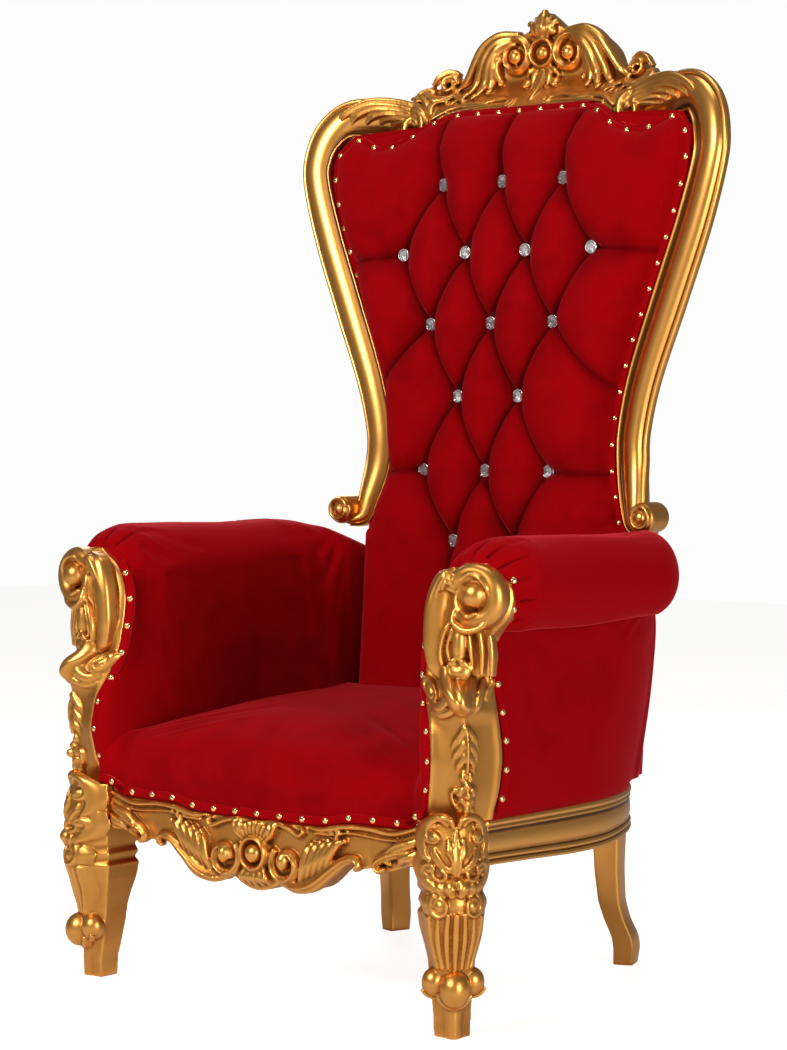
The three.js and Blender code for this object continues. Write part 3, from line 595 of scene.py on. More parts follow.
RAIL_FRONT = -364
RAIL_THICK = 40
RAIL_BOW = 8
RAIL_FACE = face_at(RAIL_FRONT)
RAIL_END = 356.5
RAIL_HEM = [
    (0, 200), (20, 203), (42, 212), (58, 220), (92, 213), (125, 214), (150, 225), (186, 256), (212, 272),
    (232, 261), (256, 264), (285, 261), (316, 270), (345, 281), (356.5, 283),
]


def eased(value, low, high):
    """0 below low, 1 above high and a soft rise between."""
    t = np.clip((np.asarray(value, float) - low) / (high - low), 0, 1)
    return t * t * (3 - 2 * t)


def rail_top(x):
    return 323 + 11 * eased(np.abs(x), 135, 215) + 17 * eased(np.abs(x), 325, 357)


def board(outline, front, thick):
    """A sawn board of any outline (across, up), closed front and back."""
    count = len(outline)
    points = [(a, front, b) for a, b in outline] + [(a, front + thick, b) for a, b in outline]
    faces = [list(range(count))[::-1], list(range(count, 2 * count))]
    faces += [[i, (i + 1) % count, count + (i + 1) % count, count + i] for i in range(count)]
    return np.array(points, float), faces


def pierce(body, holes, front, thick):
    """Saws oval holes (across, up, half width, half height) through a board."""
    worked = bpy.data.objects.new("worked", new_mesh("worked", *body))
    scene.collection.objects.link(worked)
    for a, b, wide, tall in holes:
        oval = [(a + wide * math.cos(g), b + tall * math.sin(g)) for g in circle(18)]
        drill = bpy.data.objects.new("drill", new_mesh("drill", *board(oval, front - 20, thick + 40)))
        scene.collection.objects.link(drill)
        cut = worked.modifiers.new("cut", "BOOLEAN")
        cut.operation = "DIFFERENCE"
        cut.solver = "EXACT"
        cut.object = drill
    done = worked.evaluated_get(bpy.context.evaluated_depsgraph_get()).to_mesh()
    result = (read(done), [list(f.vertices) for f in done.polygons])
    for spare in [o for o in scene.collection.objects if o.name.startswith(("worked", "drill"))]:
        bpy.data.objects.remove(spare)
    return result


rail_outline = [(x, float(rail_top(x))) for x in np.linspace(-RAIL_END, RAIL_END, 90)]
hem_curve = spline(RAIL_HEM, 80)
rail_outline += [(min(x, RAIL_END), z) for x, z in hem_curve[::-1, :2]]
rail_outline += [(-x, z) for x, z in hem_curve[1:-1, :2]]
rail_outline.append((-RAIL_END, 283))
rail_board = pierce(board(rail_outline, RAIL_FRONT, RAIL_THICK), [(s * 92, 262, 10, 15) for s in (-1, 1)],
                    RAIL_FRONT, RAIL_THICK)
RAIL_STROKES = [
    (spiral(70, 253, 34, math.pi * 0.75, 1.15, 0.42, 26) + [0, 0, 4], [13, 17, 15, 10], [10, 15, 15, 10], 2,
     0.3),
    ([(62, 219, 5), (100, 216, 7), (135, 226, 8), (170, 252, 7), (200, 272, 6), (222, 276, 6), (230, 266, 8),
     (222, 258, 8)], [10, 20, 24, 22, 17, 13, 11, 8], [8, 13, 14, 12, 11, 11, 11, 7], 2, 0.4),
    ([(352, 300, 4), (318, 296, 6), (284, 286, 7), (266, 272, 7), (274, 262, 8), (288, 268, 8)],
     [9, 16, 17, 13, 11, 7], [6, 11, 12, 11, 11, 7], 2, 0.4),
    ([(4, 320, 3), (40, 322, 3), (72, 316, 4), (98, 306, 5), (110, 312, 6), (103, 320, 6)], [5, 8, 9, 9, 8, 5],
     [4, 6, 7, 8, 8, 4]),
    ([(118, 322, 4), (150, 320, 4), (190, 328, 4), (240, 330, 3), (300, 326, 3), (356, 341, 3)],
     [5, 9, 9, 8, 8, 8], [4, 7, 7, 6, 6, 6]),
    ([(130, 312, 3), (170, 313, 3), (215, 319, 3), (300, 315, 3), (356, 330, 3)], [4], [4]),
    ([(176, 306, 4), (186, 316, 5), (178, 324, 5), (168, 316, 5)], [5, 7, 6, 4], [4, 7, 6, 3]),
    ([(356, 322, 3), (338, 312, 7), (316, 306, 8), (298, 296, 8), (290, 280, 7), (299, 274, 6)],
     [9, 15, 16, 14, 10, 5], [7, 12, 13, 12, 9, 4], 1, 0.4),
    ([(356, 304, 4), (342, 292, 8), (324, 286, 8), (312, 276, 6)], [8, 14, 13, 6], [7, 12, 11, 5], 1, 0.35),
    ([(354, 290, 3), (344, 281, 6), (330, 277, 5)], [7, 10, 5], [6, 9, 4]),
    ([(28, 290, 4), (40, 300, 6), (46, 316, 6), (36, 324, 5)], [6, 9, 8, 5], [6, 9, 8, 4]),
]
rail_bodies = [rail_board, ball(RAIL_FACE, 0, 266, 8, 17, 17, 17)]
rail_bodies.append(ridge(RAIL_FACE, spiral(0, 266, 27, 0, 1, 1, 30), [11], [20]))
for k in range(-4, 5):
    lean = k * 0.215
    ray = [(r * math.sin(lean), 266 + r * math.cos(lean), h)
           for r, h in ((30, 5), (46, 4), (57 - 1.1 * abs(k), 3))]
    rail_bodies.append(ridge(RAIL_FACE, ray, [5, 9, 12], [6, 10, 9]))
rail_bodies += strokes(RAIL_FACE, [([(k * 9, 242, 6), (k * 13, 224, 9), (k * 15, 207 + 3 * abs(k), 2)],
                                    [9, 15, 7], [6, 11, 4], 1, 0.35) for k in range(-2, 3)])
for s in (-1, 1):
    rail_bodies += strokes(RAIL_FACE, RAIL_STROKES, s)
    rail_bodies += balls(RAIL_FACE, ((68, 259, 10, 12, 16, 14), (34, 308, 6, 9, 13, 9)), s)
    for k in range(5):
        tip = 297 + 3 * k - 2 * abs(k - 2)
        frond = [(100 + 13 * k, 222 + 6 * k, 5), (112 + 14 * k, 250 + 6 * k, 9), (118 + 17 * k, 278 + 5 * k, 8),
                 (126 + 18 * k, tip - 1, 5)]
        rail_bodies += strokes(RAIL_FACE, [(frond, [8, 14, 13, 7], [7, 12, 11, 6], 1, 0.35)], s)
        rail_bodies.append(ball(RAIL_FACE, s * (128 + 18 * k), tip, 7, 5))
rail_points, rail_quads = fuse(rail_bodies, 2.1)
rail_points[:, 0] = np.clip(rail_points[:, 0], -RAIL_END, RAIL_END)
rail_points[:, 1] -= RAIL_BOW * np.cos(rail_points[:, 0] / RAIL_END * math.pi / 2)
thin(piece("front_rail_carving", (rail_points, rail_quads), gilding, ["front_rail"]), 0.55)


# ---- Arm posts ------------------------------------------------------------------------------
# Two S-shaped carved uprights. Each ends in a broad smooth scroll that rolls over a ball, with a
# husk, flutes and a scalloped collar below it, and a leaf drop with a small flower on the plain part.
POST_INNER = [
    (356, 360, -366), (395, 381, -379), (455, 392, -387), (512, 384, -381), (550, 365, -366),
    (598, 353, -351), (660, 349, -339), (700, 351, -334), (738, 366, -331), (762, 392, -329),
    (778, 424, -327),
]
POST_OUTER = [
    (356, 454, -303), (408, 461, -290), (460, 463, -285), (513, 462, -292), (560, 460, -303),
    (614, 460, -315), (650, 461, -322), (668, 474, -322), (690, 497, -312), (720, 502, -305),
    (748, 496, -306), (766, 476, -312), (778, 448, -318),
]
POST_FRONT = [
    (356, 444, -361), (400, 452, -367), (512, 452, -368), (524, 452, -377), (548, 451, -384),
    (572, 443, -381), (588, 426, -364), (625, 411, -353), (680, 414, -350), (740, 430, -349),
    (766, 436, -344), (778, 436, -336),
]


def post_plan(rows, z):
    """Where an edge of the post stands at a height, with the table's corners eased."""
    return np.mean([between(rows, np.asarray(z, float) + d) for d in (-12, -6, 0, 6, 12)], axis=0)


def post_swell(z, f):
    """How far the face stands out from straight, f from an edge to the middle ridge."""
    collar = 9 * eased(z, 512, 540) * (1 - eased(z, 572, 590))
    upper = eased(z, 590, 640)
    fall = 1 - eased(z, 745, 778)
    return (collar - 3 + 5 * upper) * np.sin(math.pi * f) + 15 * upper * fall * np.sin(math.pi / 2 * f)


def post_skin(a, z, height):
    """A place on the post's face: a across from its middle ridge, height above the wood."""
    a, z = np.broadcast_arrays(np.asarray(a, float), np.asarray(z, float))
    inner, outer, front = (np.moveaxis(post_plan(rows, z), 0, -1)
                           for rows in (POST_INNER, POST_OUTER, POST_FRONT))
    chord = outer - inner
    chord = chord / np.linalg.norm(chord, axis=-1, keepdims=True)
    out = np.stack([chord[..., 1], -chord[..., 0]], -1)
    edge = np.where((a < 0)[..., None], inner, outer)
    span = np.linalg.norm(edge - front, axis=-1)
    share = np.abs(a) / span
    swell = post_swell(z, np.clip(1 - share, 0, 1))
    spot = front + (edge - front) * share[..., None] + out * (swell + height)[..., None]
    return np.concatenate([spot, z[..., None]], -1)


def post_ring(z):
    inner, outer, front = (post_plan(rows, z) for rows in (POST_INNER, POST_OUTER, POST_FRONT))
    chord = (outer - inner) / np.linalg.norm(outer - inner)
    out = np.array([chord[1], -chord[0]])
    ring = []
    for edge, shares in ((inner, np.linspace(0, 1, 13)), (outer, np.linspace(1, 0, 13)[1:])):
        for f in shares:
            lip = 2.2 * math.exp(-((f - 0.1) / 0.07) ** 2)
            ring.append(edge * (1 - f) + front * f + out * (post_swell(z, f) + lip))
    ring += [outer - out * 33, inner - out * 33 + chord * 14, inner - out * 8 + chord * 6]
    return [(p[0], p[1], z) for p in ring]


SCROLL = turned_face(456, -348, 14)
SCROLL_STROKES = [
    # the roll: a broad smooth band over the ball, a crescent above it and a curled tongue below
    ([(-24, 752, 12), (-6, 763, 15), (14, 757, 17), (27, 740, 17), (28, 722, 13)], [4, 8, 10, 8, 3],
     [3, 7, 9, 8, 3]),
    ([(-34, 704, 10), (-33, 684, 12), (-12, 671, 13), (14, 677, 13), (34, 698, 12)], [8, 13, 14, 11, 5],
     [6, 11, 12, 9, 4]),
    ([(-22, 702, 14), (-8, 694, 18), (8, 700, 18)], [7, 10, 4], [5, 8, 3]),
    # the smooth inner band and the leaves over it
    ([(-36, 760, 8), (-52, 762, 9), (-68, 742, 7), (-84, 704, 2), (-90, 664, -2)], [5, 9, 9, 7, 3],
     [4, 8, 8, 6, 2]),
    ([(-38, 750, 9), (-50, 756, 11), (-62, 738, 9), (-74, 712, 6)], [5, 9, 8, 3], [4, 8, 7, 2]),
    ([(-36, 742, 9), (-48, 748, 11), (-56, 734, 10)], [5, 8, 3], [4, 7, 3]),
    # the husk in its panel
    ([(-54, 600, 4), (-60, 632, 6), (-52, 666, 7), (-38, 690, 8)], [6, 9, 9, 5], [5, 9, 9, 5]),
    ([(-44, 618, 6), (-47, 640, 7), (-41, 664, 8), (-33, 682, 8)], [5, 7, 7, 4], [4, 7, 7, 4]),
    ([(-4, 606, 4), (-6, 640, 5), (-10, 672, 6)], [6, 9, 6], [5, 9, 6]),
    ([(10, 598, 0), (12, 635, 0), (8, 668, 2)], [8, 10, 8], [6, 9, 6]),
    ([(25, 596, -4), (27, 632, -5), (24, 664, -2)], [8, 10, 8], [6, 9, 6]),
    ([(-48, 604, 6), (-38, 616, 12), (-27, 628, 15)], [9, 12, 5], [6, 10, 5], 1, 0.4),
    ([(-6, 604, 6), (-16, 616, 12), (-26, 628, 15)], [9, 12, 5], [6, 10, 5], 1, 0.4),
]
COLLAR_STROKES = [
    # the scalloped collar and its inner volute
    ([(-76, 552, 1), (-56, 545, 4), (-34, 556, 6), (-24, 578, 3)], [9, 15, 16, 8], [7, 12, 13, 6], 1, 0.3),
    ([(-70, 538, 0), (-46, 532, 3), (-24, 540, 4), (-14, 552, 3)], [7, 13, 13, 7], [5, 10, 10, 5], 1, 0.3),
    ([(30, 592, 2), (34, 570, 5), (27, 548, 3), (16, 538, 0)], [9, 14, 13, 6], [7, 12, 10, 4], 1, 0.3),
    ([(48, 590, 1), (52, 570, 4), (44, 550, 2), (30, 538, 0)], [9, 14, 12, 6], [7, 11, 9, 4], 1, 0.3),
    ([(66, 588, 0), (68, 572, 2), (62, 556, 1)], [8, 12, 8], [6, 9, 6], 1, 0.3),
]
post_bodies = [loft([post_ring(z) for z in np.linspace(356.4, 778, 150)])]
post_bodies += strokes(SCROLL, SCROLL_STROKES) + strokes(post_skin, COLLAR_STROKES)
post_bodies += balls(SCROLL, ((2, 729, 8, 23, 23, 22), (-26, 648, 6, 13, 36, 14), (-27, 602, 8, 21, 14, 13)))
post_bodies += [
    ridge(SCROLL, spiral(-1, 722, 44, math.pi * 0.92, -1.02, 0.70, 34) + [0, 0, 4],
          [20, 32, 35, 32, 24, 10], [6, 14, 17, 16, 11, 5], fine=2.2, root=20),
    ridge(SCROLL, [(-34, 766, -2), (-60, 746, -3), (-72, 705, -4), (-76, 655, -5), (-73, 616, -5),
                   (-61, 592, -4)],
          [18, 36, 42, 42, 36, 18], [6, 12, 14, 13, 11, 6], root=18),
    ridge(post_skin, spiral(-70, 572, 17, math.pi * 1.5, 1.15, 0.55, 26, 1.1) + [0, 0, 2],
          [8, 11, 11, 7], [7, 12, 12, 9], root=10),
    ball(post_skin, -70, 573, 5, 9, 11, 9),
]
post_bodies += strokes(post_skin, [
    ([(-12, 612, 10), (-17, 584, 12), (-12, 553, 7), (-4, 532, 0)], [16, 36, 32, 10], [9, 17, 16, 5]),
    ([(12, 604, 8), (18, 580, 10), (13, 552, 7), (4, 532, 0)], [18, 34, 30, 10], [9, 18, 16, 5]),
], root=24)
# the leaf drop and the flower under it
LEAF_STROKES = [([(3, up + 34, 2), (bend * 0.62, up + 22, 4), (bend * 1.2, up + 9, 4), (across, up - 6, 0)],
                 [5, 10, 11, 3], [5, 9, 8, 2], 1, 0.45)
                for across, up, bend in ((27, 482, 16), (25, 462, 15), (18, 444, 11))]
LEAF_STROKES += [
    ([(7, 386, 2), (14, 374, 3), (9, 360, 0)], [6, 11, 4], [5, 8, 3], 1, 0.3),
    ([(5, 424, 1), (9, 430, 2), (7, 442, 0)], [6, 9, 4], [4, 7, 3]),
]
for s in (-1, 1):
    post_bodies += strokes(post_skin, LEAF_STROKES, s)
for k in range(5):
    angle = math.pi / 2 + k * 2 * math.pi / 5
    petal = [(r * math.cos(angle), 403 + r * math.sin(angle), h) for r, h in ((6, 2), (15, 4), (24, 1))]
    post_bodies.append(ridge(post_skin, petal, [10, 18, 11], [6, 9, 5], 1, 0.35, fine=1.6))
post_bodies.append(ball(post_skin, 0, 403, 9, 8, 8, 8))
post_bodies += strokes(post_skin, [
    ([(0, 514, 1), (0, 480, 5), (0, 438, 3)], [8, 8, 5], [6, 8, 5]),
    ([(0, 390, 3), (0, 376, 4), (0, 360, 0)], [9, 15, 5], [6, 10, 3], 1, 0.35),
    ([(-14, 374, 2), (-25, 388, 3), (-29, 404, 3), (-22, 412, 3), (-17, 405, 3)], [4, 7, 7, 6, 3],
     [4, 7, 7, 6, 3]),
])
for post in pair("arm_post_carving", fuse(post_bodies, 1.8), gilding, "arm_post"):
    thin(post, 0.5)


# ---- Back stiles ----------------------------------------------------------------------------
# Two long moulded bands, steam-bent in look but sawn and carved: a bright lip against the cloth, a
# hollow, a broad round and an outer bead. Each starts in a low scroll and ends in a fluted shoulder.
# Centre x, centre z, width and front y.
STILE_PATH = [
    (350, 808, 18, 290), (321, 820, 36, 301), (314, 856, 54, 308), (302, 925, 66, 322), (302, 990, 67, 325),
    (326, 1090, 69, 325), (381, 1235, 73, 325), (432, 1370, 73, 325), (464, 1480, 71, 326),
    (464, 1535, 73, 331), (446, 1579, 76, 342), (410, 1608, 75, 358), (358, 1609, 82, 382),
    (308, 1595, 84, 400), (240, 1584, 42, 414),
]
STILE_MOULDING = [
    (-0.46, -0.85), (-0.5, -0.3), (-0.5, -0.02), (-0.492, 0.035), (-0.475, 0.062), (-0.45, 0.06),
    (-0.435, 0.03), (-0.42, -0.01), (-0.39, -0.035), (-0.35, -0.035), (-0.31, -0.01), (-0.25, 0.05),
    (-0.17, 0.115), (-0.08, 0.16), (0.02, 0.185), (0.12, 0.19), (0.21, 0.17), (0.28, 0.13), (0.325, 0.075),
    (0.345, 0.025), (0.365, 0.02), (0.39, 0.045), (0.42, 0.055), (0.45, 0.045), (0.48, 0.0), (0.5, -0.09),
    (0.475, -0.2), (0.3, -0.42), (0.05, -0.85),
]
stile_count = 230
stile_line = spline([(x, z) for x, z, _, _ in STILE_PATH], stile_count)[:, :2]
stile_wide = spline([(row[2], row[3]) for row in STILE_PATH], stile_count)
stile_way = direction(stile_line)
stile_rings = []
for k in range(stile_count):
    outer = np.array([stile_way[k, 1], -stile_way[k, 0]])
    width, front = stile_wide[k, :2]
    stile_rings.append([(stile_line[k, 0] + outer[0] * across * width, front - rise * 60,
                         stile_line[k, 1] + outer[1] * across * width) for across, rise in STILE_MOULDING])
pair("back_stile_band", loft(stile_rings), gilding, "back_stile")


def shoulder_face(a, b, c):
    return np.stack([a, 404 - 0.36 * np.maximum(0, a - 260) - c, b + 0 * a], -1)


LOW_FACE = face_at(266)
low_drum = loft([[(357 + r * math.cos(g), y, 833 + r * math.sin(g)) for g in circle(36)]
                 for y, r in ((266, 21), (267, 24), (270, 27), (276, 28), (320, 28), (324, 26))])
shoulder_bodies = [low_drum, ball(LOW_FACE, 357, 833, 0, 12, 12, 8)]
shoulder_bodies.append(ridge(LOW_FACE, spiral(357, 833, 22, math.pi * 0.9, -1.3, 0.7, 28), [6, 8, 7, 4],
                             [4, 7, 6, 3], root=6))
# Nested lobes: each tip lies on the band, and the lobe climbs over the top and round the volute.
SHOULDER_LOBES = (
    [(430, 1588, -8), (408, 1616, 0), (358, 1638, 5), (300, 1635, 8), (262, 1624, 16), (233, 1607, 22),
     (224, 1580, 18)],
    [(404, 1594, -7), (384, 1614, 1), (345, 1628, 6), (300, 1625, 9), (264, 1616, 18), (239, 1602, 23),
     (231, 1580, 19)],
    [(372, 1597, -6), (352, 1612, 2), (324, 1618, 7), (292, 1615, 11), (264, 1608, 20), (246, 1597, 24),
     (239, 1580, 20)],
    [(344, 1596, -5), (324, 1607, 3), (298, 1608, 10), (270, 1602, 18), (253, 1592, 24), (247, 1578, 20)],
    [(320, 1590, -4), (303, 1599, 4), (283, 1600, 12), (265, 1595, 20), (256, 1584, 21)],
)
shoulder_bodies += [ridge(shoulder_face, lobe, [8, 17, 19, 18, 14, 9], [6, 13, 16, 16, 13, 8], 1, 0.42, root=34)
                    for lobe in SHOULDER_LOBES]
shoulder_bodies += [
    ridge(shoulder_face, spiral(256, 1586, 26, math.pi * 0.45, 1.15, 0.45, 30, 1.2) + [0, 0, 25],
          [9, 12, 11, 8, 5], [9, 13, 13, 11, 8], 1, 0.25, root=44),
    ridge(shoulder_face, [(282, 1566, 2), (300, 1574, 4), (318, 1574, 2)], [7, 12, 5], [6, 9, 4], 1, 0.3),
]
for shoulder in pair("shoulder_carving", fuse(shoulder_bodies, 1.9), gilding):
    thin(shoulder, 0.6)


# ---- Crest ----------------------------------------------------------------------------------
# A pierced and carved top board that leans back over the tufted back: a leaf finial over a boss,
# two volutes, an arch of acanthus with dark openings, a rosette each side and a moulding at the hem.
CREST_TOP = [
    (0, 1802), (18, 1788), (45, 1766), (66, 1763), (104, 1761), (135, 1742), (160, 1718), (172, 1692),
    (182, 1680), (204, 1688), (226, 1687), (246, 1674), (262, 1666), (282, 1664), (300, 1656),
]
CREST_HEM = [
    (0, 1607), (80, 1607), (160, 1607), (195, 1594), (220, 1574), (238, 1580), (250, 1604), (268, 1626),
    (300, 1645),
]
CREST_FRONT = 463
CREST_THICK = 34
CREST_FACE = face_at(CREST_FRONT)
crest_rim = spline([(x, z - 6) for x, z in CREST_TOP], 70)[:, :2]
crest_outline = [(-x, z) for x, z in crest_rim[::-1]] + [(x, z) for x, z in crest_rim[1:]]
crest_outline += [(x, z + 1) for x, z in CREST_HEM[::-1]] + [(-x, z + 1) for x, z in CREST_HEM[1:]]
crest_holes = [(s * a, b, w, h) for s in (-1, 1) for a, b, w, h in
               ((150, 1652, 11, 7), (188, 1658, 8, 9), (206, 1632, 9, 8), (236, 1650, 8, 7))]
CREST_LOBES = (
    [(56, 1758, 6), (100, 1758, 9), (136, 1739, 11), (160, 1708, 10), (180, 1678, 8), (206, 1656, 5)],
    [(60, 1750, 8), (98, 1746, 12), (125, 1726, 13), (143, 1696, 12), (157, 1666, 9), (172, 1646, 4)],
    [(72, 1745, 10), (100, 1733, 14), (119, 1710, 14), (130, 1682, 12), (138, 1656, 8), (148, 1640, 3)],
    [(86, 1735, 10), (105, 1719, 13), (115, 1694, 12), (119, 1668, 9), (118, 1648, 4)],
    [(96, 1720, 8), (107, 1703, 11), (107, 1682, 9), (98, 1664, 4)],
)
CREST_STROKES = [(lobe, [10, 17, 19, 17, 9], [9, 15, 16, 13, 6], 1, 0.16) for lobe in CREST_LOBES]
CREST_STROKES += [
    (spiral(64, 1715, 36, math.pi * 0.20, 1.15, 0.62, 34) + [0, 0, 4], [14, 19, 18, 14, 9],
     [12, 17, 17, 15, 11], 2, 0.28),
    (spiral(223, 1672, 18, math.pi, -1.4, 0.28, 30) + [0, 0, 6], [9, 11, 9, 6], [9, 13, 13, 11]),
    (spiral(266, 1650, 15, math.pi * 0.9, -1.3, 0.3, 26) + [0, 0, 5], [8, 10, 8, 5], [8, 12, 12, 9]),
    (spiral(46, 1621, 9, math.pi / 2, 1.1, 0.45, 18) + [0, 0, 3], [5, 6, 4], [5, 6, 4]),
    ([(8, 1744, 5), (18, 1762, 9), (30, 1776, 6), (36, 1770, 6)], [8, 14, 10, 5], [7, 12, 8, 4], 1, 0.3),
    ([(5, 1750, 6), (12, 1772, 8), (20, 1788, 4)], [7, 12, 5], [7, 11, 4], 1, 0.3),
    ([(8, 1690, 4), (18, 1672, 8), (16, 1648, 5)], [9, 14, 5], [7, 11, 4], 1, 0.3),
    ([(14, 1692, 4), (30, 1682, 7), (38, 1672, 6)], [8, 11, 5], [7, 9, 4], 1, 0.3),
    ([(206, 1690, 3), (226, 1697, 6), (246, 1688, 6), (262, 1672, 4)], [7, 12, 12, 6], [6, 10, 10, 5], 1, 0.35),
    ([(196, 1654, 4), (214, 1644, 7), (236, 1640, 8), (258, 1650, 8), (272, 1662, 5)], [8, 15, 17, 14, 7],
     [6, 12, 13, 11, 5], 2, 0.4),
    ([(236, 1618, 4), (250, 1636, 8), (270, 1650, 8), (290, 1652, 4)], [8, 14, 14, 7], [6, 11, 11, 4], 2, 0.4),
    ([(224, 1606, 4), (234, 1628, 8), (226, 1644, 7)], [7, 11, 6], [6, 10, 5], 1),
    ([(168, 1632, 3), (184, 1642, 7), (204, 1648, 6), (214, 1640, 6), (206, 1630, 6)], [6, 11, 11, 8, 5],
     [5, 9, 10, 8, 4], 1),
    ([(44, 1628, 2), (80, 1631, 3), (116, 1624, 4), (150, 1624, 4), (182, 1618, 4), (218, 1596, 4)],
     [6, 9, 10, 10, 9, 7], [4, 7, 7, 7, 7, 5]),
    ([(40, 1618, 2), (90, 1618, 3), (150, 1613, 3), (188, 1606, 3)], [4, 5, 5, 4], [3, 4, 4, 3]),
]
crest_bodies = [pierce(board(crest_outline, CREST_FRONT, CREST_THICK), crest_holes, CREST_FRONT, CREST_THICK)]
crest_bodies += [ball(CREST_FACE, 0, 1717, 4, 15, 15, 16),
                 ridge(CREST_FACE, spiral(0, 1717, 26, 0, 1, 1, 30), [10], [18])]
crest_bodies += strokes(CREST_FACE, [
    ([(0, 1742, 6), (0, 1764, 12), (0, 1784, 9), (0, 1801, 3)], [16, 28, 22, 6], [9, 17, 13, 4], 1, 0.3),
    ([(0, 1690, 4), (0, 1664, 8), (0, 1624, 2)], [14, 22, 5], [8, 14, 3], 1, 0.3),
])
CREST_BALLS = [(25, 1757, 8, 8), (34, 1660, 5, 10), (63, 1714, 9, 14, 15, 15), (190, 1630, 6, 6)]
CREST_BALLS += [(lobe[-1][0], lobe[-1][1] + 2, 7, 7) for lobe in CREST_LOBES]
for s in (-1, 1):
    crest_bodies += strokes(CREST_FACE, CREST_STROKES, s) + balls(CREST_FACE, CREST_BALLS, s)
crest_points, crest_quads = fuse(crest_bodies, 2.0)
crest_lean = 78 * (1 - eased(crest_points[:, 2], 1588, 1675))
crest_points[:, 1] -= crest_lean + 24 * eased(np.abs(crest_points[:, 0]), 215, 300)
thin(piece("crest_carving", (crest_points, crest_quads), gilding, ["crest"]), 0.55)


# ---- Seat -----------------------------------------------------------------------------------
# A sprung seat under short-pile velvet, stuffed to a crown and pulled down tight at the arms and
# the back. It is tacked along the front rail, where a flat band of the same cloth covers the edge.
def pile_tone_and_fold_shade(tree, place, depth):
    """The pile lies in soft light and dark patches, and painted shade makes it darkest deep in the folds."""
    patches = add_node(tree, "TexNoise", Scale=16, Detail=6, Distortion=0.5)
    tree.links.new(place, patches.inputs["Vector"])
    return multiply(tree, depth, 0.72, multiply(tree, patches.outputs["Fac"], 0.36))


# The dark end of the velvet's stops is painted shade in the folds and creases.
velvet = painted(
    "velvet", [(0.42, (0.29, 0.0005, 0.0023)), (0.85, (0.070, 0.0001, 0.0005))], pile_tone_and_fold_shade,
    dict(Scale=900, Detail=3), 0.35, 0.0006, Roughness=0.82, Specular_IOR_Level=0.02, Sheen_Weight=0.62,
    Sheen_Roughness=0.36, Sheen_Tint=(1.0, 0.075, 0.10, 1))[0]


def graph(pairs, at):
    """A curve through (place, value) pairs, read at any place."""
    return np.interp(at, [p[0] for p in pairs], [p[1] for p in pairs])


def arm_inner(y):
    return graph([(-300, 347), (-200, 346), (0, 340), (150, 325), (245, 313), (330, 313)], y)


STUFFING_FRAMES = 20


def stuff(made, held, pressure, reach):
    """Swells a padded piece as stuffing would: held points stay, the rest move reach at most."""
    mesh = made.data
    before = read(mesh)
    tacks = made.vertex_groups.new(name="tacks")
    for i in np.nonzero(held)[0]:
        tacks.add([int(i)], 1.0, "REPLACE")
    cloth = made.modifiers.new("cloth", "CLOTH")
    settings = cloth.settings
    settings.quality = 4
    settings.mass = 0.35
    settings.tension_stiffness = 22
    settings.compression_stiffness = 22
    settings.shear_stiffness = 8
    settings.bending_stiffness = 0.6
    settings.vertex_group_mass = "tacks"
    settings.use_pressure = True
    settings.uniform_pressure_force = pressure
    settings.effector_weights.gravity = 0
    cloth.point_cache.frame_start, cloth.point_cache.frame_end = 1, STUFFING_FRAMES
    for number in range(1, STUFFING_FRAMES + 1):
        scene.frame_set(number)
    swollen = made.evaluated_get(bpy.context.evaluated_depsgraph_get()).to_mesh()
    move = read(swollen) - before
    far = np.linalg.norm(move, axis=1, keepdims=True)
    move *= np.minimum(1, reach / np.maximum(far, 1e-9))
    made.modifiers.remove(cloth)
    made.vertex_groups.remove(tacks)
    mesh.vertices.foreach_set("co", (before + move).ravel())
    mesh.update()
    scene.frame_set(1)


SEAT_HALF = 340.5
TACK_LEVEL = 372


def seat_front(x):
    x = np.abs(x)
    bow = RAIL_BOW * np.cos(np.minimum(x, SEAT_HALF) / SEAT_HALF * math.pi / 2)
    return -362 - bow - 20 * eased(x, 330, 376)


# In front of the arms the seat runs out to the posts; behind, it is pinched between the arms.
SEAT_CORNER = 374
seat_rings = []
for f in np.linspace(-1, 1, 120):
    crown = 33 * (1 - abs(f) ** 3) - 10 * math.exp(-(1 - abs(f)) / 0.05)
    x = f * SEAT_CORNER
    low = max(float(rail_top(x)) - 1.0, 356 if abs(x) > 352 else 0)
    front = float(seat_front(x))
    tuck = float(eased(abs(x), 340, SEAT_CORNER))
    crest_y = -215
    foot_z = low + 22
    crest_z = 462 + crown * 0.887 - 11 * tuck
    power = 2.5 + 1.5 * tuck
    top = [(front + 2, low), (front, low + 10), (front, low + 19)]
    for turn in np.linspace(0.02, math.pi / 2, 12):
        back_share, up_share = math.cos(turn) ** (2 / power), math.sin(turn) ** (2 / power)
        bulge = 7 * (1 - tuck) * math.sin(math.pi * min(1, up_share / 0.95))
        top.append((crest_y - (crest_y - front) * back_share - bulge, foot_z + (crest_z - foot_z) * up_share))
    for g in np.linspace(0.26, 1, 8):
        rise = crown * math.sin(math.pi * min(1, 0.2 + g * 0.8))
        top.append((-317 + g * 555, 454 + 42 * g + rise - 14 * tuck * (1 - g)))
    line = spline(top, 96)[:, :2]
    out = 1 - eased(line[:, 0], -340, -296)
    wide = f * (np.minimum(SEAT_HALF, arm_inner(line[:, 0]) - 1.5) * (1 - out) + SEAT_CORNER * out)
    ring = [(wide[k], line[k, 0], line[k, 1]) for k in range(len(line))]
    ring += [(f * 311, 238, z) for z in np.linspace(480, low, 14)[1:]]
    ring += [(f * 330, y, low) for y in np.linspace(238, front + 2, 24)[1:-1]]
    seat_rings.append(ring)
seat = piece("seat_velvet", loft(seat_rings), velvet, ["seat_cushion"])
seat_points = read(seat.data) * 1000
seat_side = np.abs(seat_points[:, 0]) > 326
